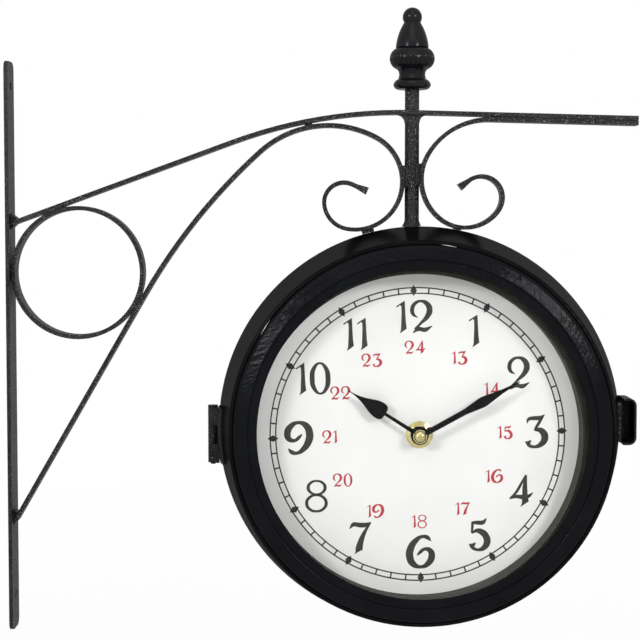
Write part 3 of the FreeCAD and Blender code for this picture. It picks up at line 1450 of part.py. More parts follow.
def make_hour_hand(face):
    """A narrow shank that ends in a pointed leaf."""
    shank, wide, tip = float(s.hour_shank) / 2, float(s.leaf_width) / 2, float(s.tip_width) / 2
    start, middle, length = float(s.leaf_start), float(leaf_middle), float(s.hour_length)
    thick = float(s.hand_thick)
    boss = rod(s.hour_boss, 0, thick)
    bar = prism([(-shank * 1.3, 0), (shank * 1.3, 0), (shank, start + 1), (-shank, start + 1)], 0, thick)
    span = length - middle
    lower = [(shank, start), (wide * 0.74, start + (middle - start) * 0.12), (wide, middle)]
    upper = [(wide, middle), (wide * 0.88, middle + span * 0.18), (wide * 0.47, middle + span * 0.42),
             (wide * 0.19, middle + span * 0.64), (tip, length)]
    edges = []
    for sign in (1, -1):
        edges += [spline_half(lower, sign), spline_half(upper, sign)]
    edges.append(Part.LineSegment(Vector(-shank, start, 0), Vector(shank, start, 0)).toShape())
    edges.append(Part.LineSegment(Vector(-tip, length, 0), Vector(tip, length, 0)).toShape())
    leaf = Part.Face(Part.Wire(Part.__sortEdges__(edges))).extrude(Vector(0, 0, thick))
    hole = rod(s.pipe_dia / 2 + s.run_fit / 2, -1, thick + 1)
    shape = boss.multiFuse([bar, leaf]).cut(hole).removeSplitter()
    return face.on_spindle(feature_of(face.name + "_hour_hand", shape), hour_depth, 0.0, 0.0, s.hour_angle)


def make_minute_hand(face):
    """A blade that widens to a long point."""
    body = new_body(face.name + "_minute_hand")
    root, wide, tip = s.minute_root / 2, s.minute_width / 2, s.tip_width / 2
    swell = s.minute_middle * 0.72
    neck = s.minute_middle + (s.minute_length - s.minute_middle) * 0.52
    outline = hand_blade([(root, 0), (root * 1.12, swell), (wide * 0.98, s.minute_middle - 1.4),
                          (wide * 0.96, s.minute_middle + 1), (wide * 0.36, neck), (tip, s.minute_length)])
    pad(body, add_sketch(body, "XY_Plane", [outline]), s.hand_thick)
    pad(body, add_sketch(body, "XY_Plane", (), [(0, 0, s.minute_boss)]), s.hand_thick)
    pocket(body, add_sketch(body, "XY_Plane", (), [(0, 0, s.arbor_dia / 2 + s.run_fit / 2)]))
    return face.on_spindle(body, minute_depth, 0.0, 0.0, s.minute_angle)


def make_cap_nut(face):
    """A domed brass nut that closes the minute arbor."""
    low = float(minute_depth + s.hand_thick)
    radius, height = float(s.cap_radius), float(s.cap_height)
    edge = height * 0.3
    bore_top = low + height / 3 + 0.1
    bore = float(s.arbor_dia / 2 + s.run_fit / 2)
    dome = height - edge
    ball = (radius ** 2 + dome ** 2) / (2 * dome)
    half_way = math.asin(radius / ball) / 2
    bulge = Vector(ball * math.sin(half_way), 0, low + height - ball * (1 - math.cos(half_way)))
    edges = [
        Part.LineSegment(Vector(bore, 0, low), Vector(radius, 0, low)).toShape(),
        Part.LineSegment(Vector(radius, 0, low), Vector(radius, 0, low + edge)).toShape(),
        Part.Arc(Vector(radius, 0, low + edge), bulge, Vector(0, 0, low + height)).toShape(),
        Part.LineSegment(Vector(0, 0, low + height), Vector(0, 0, bore_top)).toShape(),
        Part.LineSegment(Vector(0, 0, bore_top), Vector(bore, 0, bore_top)).toShape(),
        Part.LineSegment(Vector(bore, 0, bore_top), Vector(bore, 0, low)).toShape(),
    ]
    shape = Part.Face(Part.Wire(edges)).revolve(Vector(0, 0, 0), Vector(0, 0, 1), 360)
    return face.on_spindle(feature_of(face.name + "_cap_nut", shape))


def make_dial_side(face):
    """Everything that one face of the clock carries inside its half of the case."""
    return [
        make_case_half(face),
        make_bezel(face),
        make_disc(face, "glass", glass_radius, s.glass_thick, glass_back),
        make_spacer(face),
        make_dial(face),
        make_dial_brackets(face),
        make_dial_screws(face),
        make_movement_case(face),
        make_movement_lid(face),
        make_battery(face),
        make_battery_contacts(face),
        make_minute_arbor(face),
        make_motion_wheel(face),
        make_hour_wheel(face),
        make_setting_knob(face),
        make_washer(face),
        make_spindle_nut(face),
        make_hour_hand(face),
        make_minute_hand(face),
        make_cap_nut(face),
    ]


# --- build, check and write ----------------------------------------------------------------------------------

def check_document(subparts):
    doc.recompute()
    for thing in doc.Objects:
        if "Invalid" in thing.State or "Error" in thing.State:
            raise RuntimeError(f"{thing.Label} failed: {thing.State}")
    labels = [thing.Label for thing in subparts]
    if len(set(labels)) != len(labels):
        raise RuntimeError("two sub-parts share a name")
    for thing in subparts:
        if thing.Shape.isNull() or not thing.Shape.isValid() or thing.Shape.Volume <= 0:
            raise RuntimeError(f"{thing.Label} has no valid shape")


def main():
    front = Face("front", -1)
    rear = Face("rear", 1)
    subparts = make_bracket()
    subparts += make_dial_side(front)
    subparts += make_dial_side(rear)
    subparts += make_hinge(front, rear)
    subparts += [make_strike_plate(), make_catch_strap()]
    check_document(subparts)
    os.makedirs("parts", exist_ok=True)
    for thing in subparts:
        thing.Shape.exportStep(f"parts/{thing.Label}.step")
    print(len(subparts), "sub-parts,", f"case axis at x {float(case_x):.2f}, z {float(case_z):.2f},",
          f"hinge axis at x {float(case_x - hinge_radius):.2f}")


main()
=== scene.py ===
import json
import math

import bpy
from mathutils import Matrix, Vector


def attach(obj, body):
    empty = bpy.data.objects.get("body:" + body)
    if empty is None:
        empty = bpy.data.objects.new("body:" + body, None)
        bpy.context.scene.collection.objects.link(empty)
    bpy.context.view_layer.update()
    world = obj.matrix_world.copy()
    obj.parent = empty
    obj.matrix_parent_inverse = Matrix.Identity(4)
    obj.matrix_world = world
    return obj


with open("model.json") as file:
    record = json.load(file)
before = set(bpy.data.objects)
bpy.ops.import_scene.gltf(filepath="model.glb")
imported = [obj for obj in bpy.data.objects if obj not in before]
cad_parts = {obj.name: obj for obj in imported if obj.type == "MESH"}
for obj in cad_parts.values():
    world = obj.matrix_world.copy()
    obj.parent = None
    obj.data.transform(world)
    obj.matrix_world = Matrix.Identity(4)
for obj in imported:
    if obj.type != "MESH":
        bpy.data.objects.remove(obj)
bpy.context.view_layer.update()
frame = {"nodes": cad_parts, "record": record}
print("frame loaded:", len(frame["nodes"]), "nodes")

# ---- camera, at the photograph's angle
cameraSetup = {"at": (0.19299, -0.990, 0.06945), "pitchDown": 3.26, "yawLeft": 0.347,
               "focalPixels": 1650, "pictureWidth": 640, "sensor": 36}


def addCamera(setup):
    turn = (math.radians(90 - setup["pitchDown"]), 0, math.radians(setup["yawLeft"]))
    bpy.ops.object.camera_add(location=setup["at"], rotation=turn)
    camera = bpy.context.object
    camera.name = "photoCamera"
    camera.data.lens = setup["focalPixels"] / setup["pictureWidth"] * setup["sensor"]
    camera.data.sensor_width = setup["sensor"]
    bpy.context.scene.camera = camera


addCamera(cameraSetup)
print("camera placed")

# ---- shared tools for node trees


def addNode(tree, kind, inputs=None, **settings):
    node = tree.nodes.new(kind)
    for key, value in settings.items():
        setattr(node, key, value)
    for key, value in (inputs or {}).items():
        if isinstance(value, bpy.types.NodeSocket):
            tree.links.new(value, node.inputs[key])
        else:
            node.inputs[key].default_value = value
    return node


def newGroup(name, inputs, outputs):
    group = bpy.data.node_groups.new(name, "ShaderNodeTree")
    for label, value in inputs.items():
        socket = group.interface.new_socket(name=label, in_out="INPUT", socket_type="NodeSocketFloat")
        socket.default_value = value
    for label in outputs:
        group.interface.new_socket(name=label, in_out="OUTPUT", socket_type="NodeSocketFloat")
    start = group.nodes.new("NodeGroupInput")
    end = group.nodes.new("NodeGroupOutput")
    return group, start, end


def mathNode(tree, operation, a, b=0.0):
    return addNode(tree, "ShaderNodeMath", {0: a, 1: b}, operation=operation).outputs[0]


def remap(tree, value, low, high, toLow=0.0, toHigh=1.0):
    inputs = {"Value": value, "From Min": low, "From Max": high, "To Min": toLow, "To Max": toHigh}
    return addNode(tree, "ShaderNodeMapRange", inputs).outputs["Result"]


def noise(tree, vector, scale, detail=2.0, roughness=0.5):
    inputs = {"Vector": vector, "Scale": scale, "Detail": detail, "Roughness": roughness}
    return addNode(tree, "ShaderNodeTexNoise", inputs).outputs["Fac"]


def objectPlace(tree):
    return tree.nodes.new("ShaderNodeTexCoord").outputs["Object"]


def aroundAxis(group, start, place):  # distances from an axis along Y through the group's centre
    parts = addNode(group, "ShaderNodeSeparateXYZ", {0: place})
    across = mathNode(group, "SUBTRACT", parts.outputs["X"], start.outputs["Centre X"])
    up = mathNode(group, "SUBTRACT", parts.outputs["Z"], start.outputs["Centre Z"])
    squares = mathNode(group, "ADD", mathNode(group, "MULTIPLY", across, across),
                       mathNode(group, "MULTIPLY", up, up))
    return across, up, mathNode(group, "SQRT", squares)


# ---- shader groups
clockAxis = {"Centre X": 0.2465, "Centre Z": -0.051}
sprayShape = {"fineShare": 1.7, "edge": 0.8, "edgeDrop": 0.3, "edgeSoft": 0.06, "toneScale": 38.0}
rippleShape = {"skew": 260.0, "radialScale": 190.0, "fade": (-0.02, 0.08, 0.12, 1.0), "toneScale": 30.0}
latheShape = {"toneScale": 160.0}


def makeSprayGroup(shape):  # sprayed paint: fine orange peel, bright grains and slow changes of tone
    inputs = {"Grain": 900.0, "Grains Shown": 0.3}
    group, start, end = newGroup("sprayedPaint", inputs, ["Height", "Grains", "Tone"])
    place = objectPlace(group)
    grain, shown = start.outputs["Grain"], start.outputs["Grains Shown"]
    peel = noise(group, place, grain, 3.0, 0.6)
    fine = noise(group, place, mathNode(group, "MULTIPLY", grain, shape["fineShare"]), 1.0, 0.4)
    edge = mathNode(group, "SUBTRACT", shape["edge"], mathNode(group, "MULTIPLY", shown, shape["edgeDrop"]))
    grains = remap(group, fine, edge, mathNode(group, "ADD", edge, shape["edgeSoft"]))
    slow = noise(group, place, shape["toneScale"], 3.0, 0.55)
    group.links.new(peel, end.inputs["Height"])
    group.links.new(grains, end.inputs["Grains"])
    group.links.new(slow, end.inputs["Tone"])
    return group


def makeRippleGroup(shape):  # ripples across a pressed ring, strongest near its top
    group, start, end = newGroup("pressedRipples", clockAxis | {"Ripples": 34.0}, ["Height", "Tone"])
    place = objectPlace(group)
    across, up, radius = aroundAxis(group, start, place)
    turns = mathNode(group, "MULTIPLY", mathNode(group, "ARCTAN2", across, up), start.outputs["Ripples"])
    skewed = mathNode(group, "ADD", turns, mathNode(group, "MULTIPLY", radius, shape["skew"]))
    outward = mathNode(group, "MULTIPLY", radius, shape["radialScale"])
    ripple = addNode(group, "ShaderNodeCombineXYZ", {0: skewed, 1: outward, 2: 0.0})
    waves = noise(group, ripple.outputs[0], 1.0, 3.0, 0.6)
    above = remap(group, up, *shape["fade"])
    group.links.new(mathNode(group, "MULTIPLY", waves, above), end.inputs["Height"])
    group.links.new(noise(group, place, shape["toneScale"], 4.0, 0.6), end.inputs["Tone"])
    return group


def makeLatheGroup(shape):  # fine turned rings round a spindle
    group, start, end = newGroup("latheRings", clockAxis | {"Rings": 5200.0}, ["Height", "Tone"])
    place = objectPlace(group)
    radius = aroundAxis(group, start, place)[2]
    along = addNode(group, "ShaderNodeCombineXYZ", {0: radius, 1: 0.0, 2: 0.0}).outputs[0]
    group.links.new(noise(group, along, start.outputs["Rings"], 2.0, 0.7), end.inputs["Height"])
    group.links.new(noise(group, place, shape["toneScale"], 3.0, 0.6), end.inputs["Tone"])
    return group


def makeMottleGroup():  # slow and fine mottling of paper, plastic and plating
    group, start, end = newGroup("mottle", {"Slow": 25.0, "Fine": 1500.0}, ["Slow Tone", "Fine Tone"])
    place = objectPlace(group)
    group.links.new(noise(group, place, start.outputs["Slow"], 4.0, 0.6), end.inputs["Slow Tone"])
    group.links.new(noise(group, place, start.outputs["Fine"], 2.0, 0.5), end.inputs["Fine Tone"])
    return group


sprayGroup = makeSprayGroup(sprayShape)
rippleGroup = makeRippleGroup(rippleShape)
latheGroup = makeLatheGroup(latheShape)
mottleGroup = makeMottleGroup()

# ---- materials
toneSpan = (0.3, 0.7)
paintRoughSpan = (0.25, 0.75)


def newMaterial(name, shader):
    material = bpy.data.materials.new(name)
    material.use_nodes = True
    tree = material.node_tree
    surface = tree.nodes["Principled BSDF"]
    for key, value in shader.items():
        surface.inputs[key].default_value = value
    return material, tree, surface


def placeGroup(tree, group, values):
    node = tree.nodes.new("ShaderNodeGroup")
    node.node_tree = group
    for key, value in values.items():
        node.inputs[key].default_value = value
    return node


def mixColours(tree, factor, a, b):
    node = tree.nodes.new("ShaderNodeMix")
    node.data_type = "RGBA"
    for key, value in {"Factor": factor, "A": a, "B": b}.items():
        kind = "VALUE" if key == "Factor" else "RGBA"
        socket = next(s for s in node.inputs if s.name == key and s.type == kind)
        if isinstance(value, bpy.types.NodeSocket):
            tree.links.new(value, socket)
        else:
            socket.default_value = value
    return next(s for s in node.outputs if s.type == "RGBA")


def bodyColour(tree, tone, look):
    return mixColours(tree, remap(tree, tone, *toneSpan), look["dark"], look["light"])


def setRoughness(tree, surface, value, span, look, sockets=("Roughness",)):
    rough = remap(tree, value, *span, *look["rough"])
    for socket in sockets:
        tree.links.new(rough, surface.inputs[socket])


def addBump(tree, surface, height, strength, distance):
    bump = addNode(tree, "ShaderNodeBump", {"Height": height, "Strength": strength, "Distance": distance})
    tree.links.new(bump.outputs["Normal"], surface.inputs["Normal"])
    tree.links.new(bump.outputs["Normal"], surface.inputs["Coat Normal"])


def makeSprayed(name, look):
    material, tree, surface = newMaterial(name, look["shader"])
    spray = placeGroup(tree, sprayGroup, look["spray"]).outputs
    colour = mixColours(tree, spray["Grains"], bodyColour(tree, spray["Tone"], look), look["grain"])
    tree.links.new(colour, surface.inputs["Base Color"])
    setRoughness(tree, surface, spray["Tone"], paintRoughSpan, look, ("Roughness", "Coat Roughness"))
    addBump(tree, surface, spray["Height"], *look["bump"])
    return material


bracketLook = {"dark": (0.005, 0.0053, 0.0065, 1), "light": (0.018, 0.0188, 0.021, 1),
               "grain": (0.34, 0.34, 0.35, 1), "rough": (0.18, 0.32), "bump": (0.9, 0.0005),
               "spray": {"Grain": 1000.0, "Grains Shown": 0.45},
               "shader": {"Specular IOR Level": 0.0, "Coat Weight": 0.28}}
finialLook = {"dark": (0.003, 0.0032, 0.004, 1), "light": (0.008, 0.0084, 0.01, 1),
              "grain": (0.04, 0.04, 0.042, 1), "rough": (0.12, 0.24), "bump": (0.1, 0.0003),
              "spray": {"Grain": 800.0, "Grains Shown": 0.1},
              "shader": {"Specular IOR Level": 0.0, "Coat Weight": 0.32}}
hardwareLook = {"dark": (0.004, 0.004, 0.0045, 1), "light": (0.012, 0.012, 0.013, 1),
                "grain": (0.2, 0.2, 0.205, 1), "rough": (0.22, 0.42), "bump": (0.6, 0.0006),
                "spray": {"Grain": 900.0, "Grains Shown": 0.45},
                "shader": {"Specular IOR Level": 0.0, "Coat Weight": 0.3}}
bandLook = {"dark": (0.002, 0.002, 0.0022, 1), "light": (0.005, 0.0051, 0.0056, 1),
            "grain": (0.03, 0.03, 0.032, 1), "rough": (0.16, 0.28), "bump": (0.1, 0.0003),
            "spray": {"Grain": 700.0, "Grains Shown": 0.1},
            "shader": {"Specular IOR Level": 0.0, "Coat Weight": 0.07}}
handLook = {"dark": (0.003, 0.003, 0.003, 1), "light": (0.006, 0.006, 0.0065, 1),
            "grain": (0.02, 0.02, 0.02, 1), "rough": (0.45, 0.6), "bump": (0.08, 0.0001),
            "spray": {"Grain": 1800.0, "Grains Shown": 0.1},
            "shader": {"Specular IOR Level": 0.0, "Coat Weight": 0.1}}


def makeBezelPaint(name, look):
    material, tree, surface = newMaterial(name, look["shader"])
    ripples = placeGroup(tree, rippleGroup, look["ripples"]).outputs
    tree.links.new(bodyColour(tree, ripples["Tone"], look), surface.inputs["Base Color"])
    setRoughness(tree, surface, ripples["Tone"], paintRoughSpan, look, ("Roughness", "Coat Roughness"))
    addBump(tree, surface, ripples["Height"], *look["bump"])
    return material


bezelLook = {"dark": (0.0022, 0.0024, 0.0032, 1), "light": (0.005, 0.0055, 0.0075, 1),
             "rough": (0.12, 0.24), "bump": (0.5, 0.0012), "ripples": {"Ripples": 34.0},
             "shader": {"Specular IOR Level": 0.0, "Coat Weight": 0.13}}


def makeMottled(name, look):
    material, tree, surface = newMaterial(name, look["shader"])
    mottle = placeGroup(tree, mottleGroup, look["mottle"]).outputs
    tree.links.new(bodyColour(tree, mottle["Slow Tone"], look), surface.inputs["Base Color"])
    setRoughness(tree, surface, mottle["Fine Tone"], toneSpan, look)
    addBump(tree, surface, mottle["Fine Tone"], *look["bump"])
    return material


mottledLooks = {
    "dialPaper": {"dark": (0.77, 0.77, 0.75, 1), "light": (0.83, 0.83, 0.815, 1), "rough": (0.5, 0.62),
                  "bump": (0.05, 0.0001), "mottle": {"Slow": 22.0, "Fine": 1400.0},
                  "shader": {"Specular IOR Level": 0.3}},
    # spacer ring: dark is its own colour; the olive tint in its colour is a painted reflection of the dial on
    # the wall
    "spacerRingDialReflection": {"dark": (0.014, 0.016, 0.011, 1), "light": (0.024, 0.027, 0.019, 1), "rough": (0.45, 0.6),
                   "bump": (0.15, 0.0002), "mottle": {"Slow": 60.0, "Fine": 900.0},
                   "shader": {"Specular IOR Level": 0.12}},
    "zincPlate": {"dark": (0.42, 0.43, 0.44, 1), "light": (0.60, 0.61, 0.62, 1), "rough": (0.22, 0.42),
                  "bump": (0.2, 0.0001), "mottle": {"Slow": 300.0, "Fine": 2600.0},
                  "shader": {"Metallic": 1.0}},
    "nickelPlate": {"dark": (0.58, 0.57, 0.53, 1), "light": (0.74, 0.72, 0.68, 1), "rough": (0.18, 0.34),
                    "bump": (0.15, 0.0001), "mottle": {"Slow": 400.0, "Fine": 3000.0},
                    "shader": {"Metallic": 1.0}},
    "blackPlastic": {"dark": (0.014, 0.014, 0.014, 1), "light": (0.024, 0.024, 0.024, 1), "rough": (0.42, 0.58),
                     "bump": (0.3, 0.0001), "mottle": {"Slow": 120.0, "Fine": 3200.0}, "shader": {}},
    "gearNylon": {"dark": (0.70, 0.69, 0.64, 1), "light": (0.82, 0.81, 0.77, 1), "rough": (0.35, 0.5),
                  "bump": (0.1, 0.0001), "mottle": {"Slow": 300.0, "Fine": 3000.0},
                  "shader": {"Subsurface Weight": 0.05}},
    "batterySleeve": {"dark": (0.03, 0.05, 0.14, 1), "light": (0.045, 0.07, 0.18, 1), "rough": (0.25, 0.38),
                      "bump": (0.05, 0.0001), "mottle": {"Slow": 90.0, "Fine": 1800.0},
                      "shader": {"Coat Weight": 0.3}},
    "dialInk": {"dark": (0.024, 0.026, 0.024, 1), "light": (0.040, 0.042, 0.040, 1), "rough": (0.5, 0.65),
                "bump": (0.05, 0.00005), "mottle": {"Slow": 500.0, "Fine": 4000.0},
                "shader": {"Specular IOR Level": 0.2}},
    "redInk": {"dark": (0.40, 0.03, 0.045, 1), "light": (0.48, 0.05, 0.065, 1), "rough": (0.5, 0.65),
               "bump": (0.05, 0.00005), "mottle": {"Slow": 500.0, "Fine": 4000.0},
               "shader": {"Specular IOR Level": 0.2}},
}


def makeTurnedBrass(name, look, centre):
    material, tree, surface = newMaterial(name, look["shader"])
    rings = placeGroup(tree, latheGroup, centre).outputs
    tree.links.new(bodyColour(tree, rings["Tone"], look), surface.inputs["Base Color"])
    setRoughness(tree, surface, rings["Tone"], toneSpan, look)
    addBump(tree, surface, rings["Height"], *look["bump"])
    return material


brassLook = {"dark": (0.42, 0.36, 0.15, 1), "light": (0.68, 0.61, 0.33, 1), "rough": (0.08, 0.2),
             "bump": (0.25, 0.00008), "shader": {"Metallic": 1.0}}
spindleRings = {"frontBrass": {"Centre X": 0.2455, "Centre Z": -0.053},
                "rearBrass": {"Centre X": 0.2475, "Centre Z": -0.053}}


def makeGlass(name, look):  # clear to the light that falls on the dial
    material, tree, surface = newMaterial(name, look["shader"])
    mottle = placeGroup(tree, mottleGroup, look["mottle"]).outputs
    setRoughness(tree, surface, mottle["Slow Tone"], toneSpan, look)
    path = tree.nodes.new("ShaderNodeLightPath")
    hidden = mathNode(tree, "MAXIMUM", path.outputs["Is Shadow Ray"], path.outputs["Is Diffuse Ray"])
    clear = tree.nodes.new("ShaderNodeBsdfTransparent")
    mixed = addNode(tree, "ShaderNodeMixShader", {0: hidden, 1: surface.outputs[0], 2: clear.outputs[0]})
    tree.links.new(mixed.outputs[0], tree.nodes["Material Output"].inputs["Surface"])
    return material


glassLook = {"rough": (0.0, 0.015), "mottle": {"Slow": 8.0, "Fine": 60.0},
             "shader": {"Base Color": (0.985, 0.99, 0.985, 1), "Transmission Weight": 1.0, "IOR": 1.12}}

materials = {
    "bracketPaint": makeSprayed("bracketPaint", bracketLook),
    "finialPaint": makeSprayed("finialPaint", finialLook),
    "hardwarePaint": makeSprayed("hardwarePaint", hardwareLook),
    "bandPaint": makeSprayed("bandPaint", bandLook),
    "handPaint": makeSprayed("handPaint", handLook),
    "bezelPaint": makeBezelPaint("bezelPaint", bezelLook),
    "clearGlass": makeGlass("clearGlass", glassLook),
}
for lookName, lookValues in mottledLooks.items():
    materials[lookName] = makeMottled(lookName, lookValues)
for brassName, spindle in spindleRings.items():
    materials[brassName] = makeTurnedBrass(brassName, brassLook, spindle)
print("materials made:", len(materials))

slotMaterials = {"bracket_paint": "bracketPaint", "case_paint": "bandPaint", "dial_print": "dialPaper",
                 "spacer": "spacerRingDialReflection", "glass": "clearGlass", "hand_paint": "handPaint",
                 "brass": "frontBrass", "zinc": "zincPlate", "contact": "nickelPlate",
                 "movement": "blackPlastic", "gear": "gearNylon", "battery": "batterySleeve"}
nodeMaterials = {"finial": "finialPaint", "front_bezel": "bezelPaint", "rear_bezel": "bezelPaint",
                 "hinge_leaf_front": "hardwarePaint", "hinge_leaf_rear": "hardwarePaint",
                 "hinge_pin": "hardwarePaint", "strike_plate": "hardwarePaint",
                 "catch_strap": "hardwarePaint", "rear_dial_washer": "rearBrass",
                 "rear_spindle_nut": "rearBrass", "rear_cap_nut": "rearBrass"}


def dressNodes():
    for entry in frame["record"]["subparts"]:
        name = entry["node"]
        choice = nodeMaterials.get(name, slotMaterials[entry["material_slot"]])
        mesh = frame["nodes"][name].data
        mesh.materials.clear()
        mesh.materials.append(materials[choice])


dressNodes()
print("nodes dressed")

# ---- the print on both dials
dialCentre = Matrix.Translation((clockAxis["Centre X"], 0.0, clockAxis["Centre Z"]))
upright = Matrix.Rotation(math.radians(90), 4, "X")
facePlaces = {"front": dialCentre @ upright, "rear": dialCentre @ Matrix.Rotation(math.pi, 4, "Z") @ upright}
faceBodies = {"front": "bracket", "rear": "door"}
printSetup = {"depth": 0.02502, "thick": 0.00003, "shift": (-0.0022, -0.0020, 0), "tilt": 1.6,
              "numeralHeight": 0.0192, "numeralRing": 0.0695, "numeralLift": 0.00002,
              "smallHeight": 0.008, "smallRing": 0.0515, "penWeight": 1.15, "curveParts": 6,
              "strokeStep": 0.0002, "ovalStep": 45}
trackSetup = {"outer": 0.0869, "inner": 0.0828, "line": 0.0008, "tick": 0.0009, "diamondLong": 0.0066,
              "diamondWide": 0.0040, "ringParts": 180, "minutes": 60, "hours": 12}

# a pen stroke is (x, y, width) along its middle, a cut is a straight-sided outline,
# a loop is an oval ring by centre, outer and inner half widths; a numeral is 100 high
numerals = {
    "0": [("loop", 32, 50, 32, 50, 16.5, 43.5)],
    "1": [("cut", (0, 83), (27, 100), (28, 60), (29, 32), (31, 14), (9, -1), (13, 10), (15, 40), (16.5, 66),
           (16, 84), (12, 86), (2, 79))],
    "2": [("pen", (23, 47, 2), (10, 57, 9), (7, 74, 11), (17, 91, 9), (34, 97, 7), (52, 89, 13), (60, 69, 16),
           (52, 49, 13), (32, 29, 7), (13, 11, 6)),
          ("pen", (8, 1, 3), (25, 12, 11), (44, 9, 12), (67, 20, 2))],
    "3": [("pen", (9, 76, 3), (12, 87, 8), (30, 91, 11), (50, 92, 11), (63, 101, 2)),
          ("pen", (57, 95, 6), (46, 78, 8), (32, 56, 7)),
          ("pen", (30, 54, 4), (45, 55, 13), (58, 45, 18), (62, 30, 19), (52, 12, 15), (30, 3, 8), (13, 8, 9),
           (3, 19, 3)),
          ("pen", (1, 19, 2), (10, 15, 11), (20, 23, 3))],
    "4": [("pen", (54, 98, 5), (38, 70, 7), (20, 42, 7), (3, 27, 4)),
          ("pen", (2, 26, 4), (20, 32, 9), (45, 30, 12), (62, 33, 9), (74, 43, 2)),
          ("cut", (57, 99), (57, 60), (58, 30), (61, 16), (34, -1), (39, 10), (41, 30), (42, 60), (49, 90))],
    "5": [("pen", (13, 88, 6), (30, 87, 11), (48, 88, 11), (58, 100, 2)),
          ("pen", (15, 90, 7), (14, 74, 7), (12, 55, 5)),
          ("pen", (12, 54, 3), (25, 62, 10), (42, 58, 16), (56, 42, 18), (58, 25, 18), (48, 9, 14), (30, 3, 8),
           (13, 10, 9), (4, 20, 3)),
          ("pen", (2, 21, 2), (12, 16, 12), (23, 25, 3))],
    "6": [("pen", (76, 82, 2), (66, 93, 11), (50, 97, 9), (30, 86, 14), (13, 62, 19), (9, 36, 20), (19, 13, 17),
           (42, 3, 9), (65, 13, 15), (77, 36, 18), (71, 54, 14), (56, 58, 9), (42, 49, 9), (32, 39, 3))],
    "7": [("pen", (0, 78, 2), (11, 91, 11), (32, 89, 13), (52, 90, 11), (67, 97, 2)),
          ("pen", (64, 95, 5), (48, 70, 9), (36, 45, 14), (29, 22, 18), (27, 12, 20)),
          ("cut", (17, 16), (37, 18), (36, 12), (13, -1), (17, 9))],
    "8": [("loop", 36, 76, 31, 24, 21, 17.5), ("loop", 34, 28, 35, 29, 25, 21.5)],
    "9": [("pen", (7, 18, 2), (17, 7, 11), (33, 3, 9), (53, 14, 14), (70, 38, 19), (74, 64, 20), (64, 87, 17),
           (41, 97, 9), (18, 87, 15), (6, 64, 18), (12, 46, 14), (27, 42, 9), (41, 51, 9), (51, 61, 3))],
}
numeralWidths = {"0": 64, "1": 31, "2": 68, "3": 68, "4": 75, "5": 66, "6": 83, "7": 68, "8": 70, "9": 83}
numeralGap = 11


def deselect():
    if bpy.context.object and bpy.context.object.mode != "OBJECT":
        bpy.ops.object.mode_set(mode="OBJECT")
    bpy.ops.object.select_all(action="DESELECT")


def selectOnly(items):
    deselect()
    for item in items:
        item.select_set(True)
    bpy.context.view_layer.objects.active = items[0]


def joinPieces(items, name):
    selectOnly(items)
    if len(items) > 1:
        bpy.ops.object.join()
    piece = bpy.context.object
    piece.name = name
    piece.data.name = name
    return piece


def settleTransforms(piece):
    selectOnly([piece])
    bpy.ops.object.transform_apply(location=True, rotation=True, scale=True)


def penOutline(points, weight):  # both sides of a stroke whose width changes along it
    left, right = [], []
    last = len(points) - 1
    for i, (x, y, width) in enumerate(points):
        before, after = points[max(i - 1, 0)], points[min(i + 1, last)]
        along = Vector((after[0] - before[0], after[1] - before[1])).normalized()
        side = Vector((-along.y, along.x)) * (width * weight) / 2
        left.append((x + side.x, y + side.y))
        right.append((x - side.x, y - side.y))
    return left + right[::-1], {0, last, last + 1, 2 * last + 1}


def ovalOutline(x, y, wide, high):
    angles = [math.radians(a) for a in range(0, 360, printSetup["ovalStep"])]
    return [(x + wide * math.cos(a), y + high * math.sin(a)) for a in angles]


def addOutline(curve, points, corners):
    spline = curve.splines.new("BEZIER")
    spline.bezier_points.add(len(points) - 1)
    spline.use_cyclic_u = True
    spline.resolution_u = printSetup["curveParts"]
    for i, (x, y) in enumerate(points):
        point = spline.bezier_points[i]
        point.co = (x / 100, y / 100, 0)
        kind = "VECTOR" if i in corners else "AUTO"
        point.handle_left_type = kind
        point.handle_right_type = kind


def drawShape(shape, shift, level):
    bpy.ops.curve.primitive_bezier_circle_add(location=(0, 0, 0))
    item = bpy.context.object
    curve = item.data
    curve.splines.clear()
    curve.dimensions = "2D"
    curve.fill_mode = "BOTH"
    kind, values = shape[0], shape[1:]
    if kind == "pen":
        points, corners = penOutline([(x + shift, y, w) for x, y, w in values], printSetup["penWeight"])
        addOutline(curve, points, corners)
    elif kind == "cut":
        addOutline(curve, [(x + shift, y) for x, y in values], set(range(len(values))))
    else:
        x, y, wide, high, innerWide, innerHigh = values
        addOutline(curve, ovalOutline(x + shift, y, wide, high), set())
        addOutline(curve, ovalOutline(x + shift, y, innerWide, innerHigh), set())
    item.location.z = level
    bpy.ops.object.convert(target="MESH")
    return bpy.context.object


def drawNumber(word):  # one unit high, centred on the origin
    items, shift, level = [], 0, 0
    for figure in word:
        for shape in numerals[figure]:
            deselect()
            items.append(drawShape(shape, shift, level))
            level += printSetup["strokeStep"]
        shift += numeralWidths[figure] + numeralGap
    number = joinPieces(items, "number" + word)
    centring = Matrix.Translation((-(shift - numeralGap) / 200, -0.5, 0))
    number.data.transform(centring @ Matrix.Translation(number.location))
    number.location = (0, 0, 0)
    return number


def finishPrint(items, name, face, material, height):
    piece = joinPieces(items, name)
    settleTransforms(piece)
    lift = Matrix.Translation((0, 0, printSetup["depth"] + height))
    turn = Matrix.Rotation(math.radians(printSetup["tilt"]), 4, "Z")
    piece.data.transform(facePlaces[face] @ Matrix.Translation(printSetup["shift"]) @ turn @ lift)
    piece.data.update()
    piece.data.materials.clear()
    piece.data.materials.append(materials[material])
    solid = piece.modifiers.new("thick", "SOLIDIFY")
    solid.thickness = printSetup["thick"]
    solid.offset = 0
    selectOnly([piece])
    bpy.ops.object.modifier_apply(modifier="thick")
    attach(piece, faceBodies[face])


